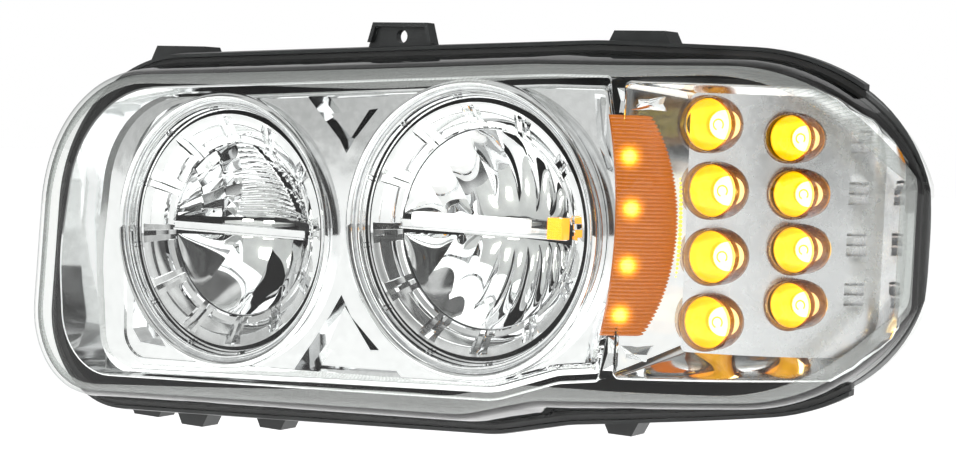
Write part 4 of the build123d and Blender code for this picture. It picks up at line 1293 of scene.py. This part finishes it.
def marker_material():
    """Amber plastic lit from behind: brightest at its four LEDs, deeper towards its edges."""
    material, n = new_material("marker_amber")
    where = n.add("ShaderNodeTexCoord").outputs["Object"]
    near = None
    for z in MARKER_LEDS:
        spot = Vector(row(marker_x(0.22, z)))
        gap = n.add("ShaderNodeVectorMath", {"operation": "DISTANCE"}, _0=where, _1=spot).outputs["Value"]
        lit = n.add("ShaderNodeMapRange", {"interpolation_type": "SMOOTHERSTEP"}, Value=gap, From_Min=0.0,
                    From_Max=0.011, To_Min=1.0, To_Max=0.0).outputs[0]
        near = lit if near is None else n.maths("MAXIMUM", near, lit)
    patchy = n.add("ShaderNodeTexNoise", Vector=where, Scale=420.0, Detail=3.0).outputs["Fac"]
    amount = n.maths("ADD", near, n.maths("MULTIPLY", n.maths("SUBTRACT", patchy, 0.5), 0.25))
    colour = n.ramp(amount, [(0.0, (0.44, 0.11, 0.0)), (0.4, (0.66, 0.19, 0.0)), (0.75, (0.98, 0.43, 0.01)),
                             (1.0, (1.0, 0.78, 0.14))])
    power = n.add("ShaderNodeMapRange", Value=amount, To_Min=0.18, To_Max=1.05).outputs[0]
    shader = n.add("ShaderNodeBsdfPrincipled", Base_Color=colour, Roughness=0.12, Emission_Color=colour,
                   Emission_Strength=power, Coat_Weight=0.4)
    n.add("ShaderNodeOutputMaterial", Surface=shader)
    return material


MARKER_LEDS = (48, 19, -13, -41)


def side_marker():
    """Ribbed amber lens with a bright beaded strip down its rear edge."""
    count = int((MARKER_Z[1] - MARKER_Z[0]) / RIB_PITCH)
    zs = np.linspace(MARKER_Z[0], MARKER_Z[1], count * 4 + 1)
    front, rear = [], []
    for k, z in enumerate(zs):
        rib = 0.55 * abs(math.sin(math.pi * k / 4))
        front.append([marker_x(a, z, -rib) for a in np.linspace(0, 1, 14)])
        rear.append([marker_x(a, z, 2.4) for a in np.linspace(0, 1, 14)])
    build = Build()
    build.grid(front)
    build.grid([line[::-1] for line in rear])
    build.grid([[line[0] for line in front], [line[0] for line in rear]])
    build.grid([[line[-1] for line in front], [line[-1] for line in rear]])
    build.grid([front[0], rear[0]])
    build.grid([front[-1], rear[-1]])
    lens = build.done("amber_marker", marker_material(), slot="amber_lens", sharp=50)
    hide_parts("marker_lens")
    beads = Build()
    strip_z = np.arange(MARKER_Z[0] + 3, MARKER_Z[1] - 2, 2.4)
    for z in strip_z:
        centre = marker_x(1.02, z, -0.8)
        beads.grid(spun([(1.2, 0.9), (1.2, -0.1), (0.8, -0.8), (0.05, -1.1)], centre, 8), closed=True)
    beads.done("marker_beads", LIT_CHIP, slot="amber_lens", sharp=60)
    return lens


def pyramid_facets():
    """Small pyramids of bright facets above and below the marker."""
    build = Build()
    for corners, tip in (
        ([(94, 2, 86), (124, 22, 87), (126, 24, 71), (98, -2, 72)], (113, 4, 77)),
        ([(97, -2, -54), (125, 22, -54), (123, 24, -76), (92, 2, -74)], (111, 3, -63)),
    ):
        for a, b in zip(corners, corners[1:] + corners[:1]):
            middle = tuple((p + q) / 2 for p, q in zip(a, b))
            dip = (middle[0], middle[1] + 3.0, middle[2])
            build.fill([a, dip, tip])
            build.fill([dip, b, tip])
    facets = build.done("bay_facets", CHROME, slot="chrome", sharp=5)
    thicken(facets, 0.8)
    return facets


turn_plate()
notch_fins()
bay_frame()
turn_collars()
for lamp in TURN_LAMPS:
    turn_lamp(*lamp)
side_marker()
pyramid_facets()
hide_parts("chrome_bezel")


# ---- the CAD's own pieces ----
CAST = plastic(
    "cast_aluminium", (0.42, 0.43, 0.44), (0.55, 0.56, 0.57), 0.42, grain=1200, bump=0.2, metallic=1.0,
)
DARK_METAL = plastic("dark_aluminium", (0.10, 0.10, 0.105), (0.16, 0.16, 0.165), 0.4, metallic=1.0)
BOARD = plastic("circuit_board", (0.70, 0.71, 0.70), (0.80, 0.81, 0.80), 0.5, grain=500)
DARK_PLASTIC = plastic("dark_plastic", (0.014, 0.014, 0.015), (0.028, 0.028, 0.03), 0.38, bump=0.15)
KNOB = plastic("adjuster_white", (0.62, 0.61, 0.57), (0.72, 0.71, 0.66), 0.4, bump=0.1)
STEEL = plastic("zinc_steel", (0.55, 0.56, 0.56), (0.68, 0.69, 0.68), 0.3, metallic=1.0, speckle=400)
TIN = plastic("tin_pin", (0.60, 0.59, 0.55), (0.75, 0.74, 0.70), 0.25, metallic=1.0)
AMBER_CHIP = glow("amber_chip", (1.0, 0.55, 0.05), 1.5, (1.0, 0.6, 0.1))
WHITE_CHIP = glow("white_chip", (1.0, 1.0, 0.95), 3.0, (0.95, 0.95, 0.85))

FINISHES = {
    "lens_seal": (RUBBER, 0), "rear_housing": (BLACK, 0.5), "breather_caps": (DARK_PLASTIC, 0.8),
    "bezel_screws": (STEEL, 0.2), "marker_led_board": (BOARD, 0), "marker_leds": (AMBER_CHIP, 0.2),
    "turn_led_boards": (BOARD, 0), "turn_leds": (AMBER_CHIP, 0.2), "driver_case": (CAST, 0.8),
    "driver_board": (BOARD, 0), "driver_cover": (CAST, 0.5), "cover_screws": (STEEL, 0.2),
    "main_connector": (DARK_PLASTIC, 0.4), "turn_connector": (DARK_PLASTIC, 0.4),
    "connector_pins": (TIN, 0.1),
}
for beam in LAMPS:
    FINISHES[f"{beam}_led_boards"] = (BOARD, 0)
    FINISHES[f"{beam}_leds"] = (WHITE_CHIP, 0.2)
    FINISHES[f"{beam}_carrier"] = (DARK_PLASTIC, 0.4)
    FINISHES[f"{beam}_heat_sink"] = (DARK_METAL, 0.2)
    FINISHES[f"{beam}_sink_screws"] = (STEEL, 0.2)
    FINISHES[f"{beam}_pivot_brackets"] = (DARK_PLASTIC, 0.6)
    FINISHES[f"{beam}_adjuster_screw"] = (KNOB, 0.4)
    FINISHES[f"{beam}_adjuster_nut"] = (KNOB, 0.4)
for name, (material, width) in FINISHES.items():
    node = NODES[name]
    for material_slot in node.material_slots:
        material_slot.material = material
    if not node.material_slots:
        node.data.materials.append(material)
    if width:
        soften(node, width, 2, 35)


# ---- floor, world and lights ----
def studio():
    """Pale floor below the lamp, a white surround and soft lights."""
    floor_mesh = bpy.data.meshes.new("floor")
    reach, drop = 14.0, 0.30
    z = CAD_BOX[0][2] - drop
    floor_mesh.from_pydata(
        [(-reach, -reach, z), (reach, -reach, z), (reach, reach, z), (-reach, reach, z)], [], [(0, 1, 2, 3)]
    )
    floor = bpy.data.objects.new("floor", floor_mesh)
    bpy.context.scene.collection.objects.link(floor)
    material, n = new_material("floor_white")
    where = n.add("ShaderNodeTexCoord").outputs["Object"]
    mottle = n.add("ShaderNodeTexNoise", Vector=where, Scale=6.0, Detail=4.0).outputs["Fac"]
    tone = n.ramp(mottle, [(0.3, (0.93, 0.93, 0.93)), (0.7, (0.96, 0.96, 0.96))])
    shader = n.add("ShaderNodeBsdfPrincipled", Base_Color=tone, Roughness=0.8, Emission_Color=(1, 1, 1, 1),
                   Emission_Strength=0.62)
    n.add("ShaderNodeOutputMaterial", Surface=shader)
    floor_mesh.materials.append(material)

    world = bpy.data.worlds.new("studio")
    bpy.context.scene.world = world
    world.use_nodes = True
    n = Nodes(world.node_tree)
    way = n.add("ShaderNodeTexCoord").outputs["Generated"]
    split = n.add("ShaderNodeSeparateXYZ", Vector=way)
    ahead = n.maths("MULTIPLY", split.outputs["Y"], -1.0)
    azimuth = n.maths("ARCTAN2", split.outputs["X"], ahead)
    height = n.maths("ARCSINE", split.outputs["Z"])
    light = None
    # degrees: azimuth from the lamp's front, half width, lowest and highest elevation, and how dark
    for middle, half, low_edge, high_edge, dark in (
        (50, 20, -60, 50, 0.95), (88, 24, -55, 60, 0.72), (-78, 14, -70, 60, 0.70), (20, 44, 54, 74, 0.85),
        (-14, 6, -50, 40, 0.30), (160, 24, -40, 50, 0.6),
    ):
        off = n.maths("ABSOLUTE", n.maths("SUBTRACT", azimuth, math.radians(middle)))
        beside = n.add(
            "ShaderNodeMapRange", {"interpolation_type": "SMOOTHSTEP"}, Value=off,
            From_Min=math.radians(half - 4), From_Max=math.radians(half + 4), To_Min=1.0, To_Max=0.0,
        ).outputs[0]
        rise = n.maths("ABSOLUTE", n.maths("SUBTRACT", height, math.radians((low_edge + high_edge) / 2)))
        reach_up = (high_edge - low_edge) / 2
        within = n.add(
            "ShaderNodeMapRange", {"interpolation_type": "SMOOTHSTEP"}, Value=rise,
            From_Min=math.radians(reach_up - 4), From_Max=math.radians(reach_up + 4),
            To_Min=1.0, To_Max=0.0,
        ).outputs[0]
        band = n.maths("SUBTRACT", 1.0, n.maths("MULTIPLY", n.maths("MULTIPLY", beside, within), dark))
        light = band if light is None else n.maths("MULTIPLY", light, band)
    slanted = n.maths("ADD", azimuth, n.maths("MULTIPLY", height, 0.7))
    ripple = n.maths("SINE", n.maths("MULTIPLY", slanted, 11.0))
    light = n.maths("MULTIPLY", light, n.maths("MULTIPLY_ADD", ripple, 0.13, 0.64))
    rays = n.add("ShaderNodeLightPath")
    seen = n.maths("MAXIMUM", rays.outputs["Is Camera Ray"], light)
    sky = n.add("ShaderNodeBackground", Color=(1, 1, 1, 1), Strength=seen)
    n.add("ShaderNodeOutputWorld", Surface=sky)

    for name, spot, aim, size, power in (
        ("key", (-500, -900, 900), (0, 0, 0), 0.9, 14), ("fill", (900, -500, 300), (60, 0, 0), 0.7, 5),
        ("rear", (0, 900, 700), (0, 60, 0), 0.9, 10),
    ):
        lamp = bpy.data.objects.new(name, bpy.data.lights.new(name, "AREA"))
        lamp.data.shape = "DISK"
        lamp.data.size = size
        lamp.data.energy = power
        lamp.visible_glossy = False
        lamp.location = row(spot)
        lamp.rotation_euler = (row(aim) - row(spot)).to_track_quat("-Z", "Y").to_euler()
        bpy.context.scene.collection.objects.link(lamp)
    view = bpy.context.scene.view_settings
    view.view_transform = "Standard"


studio()

bpy.context.view_layer.update()
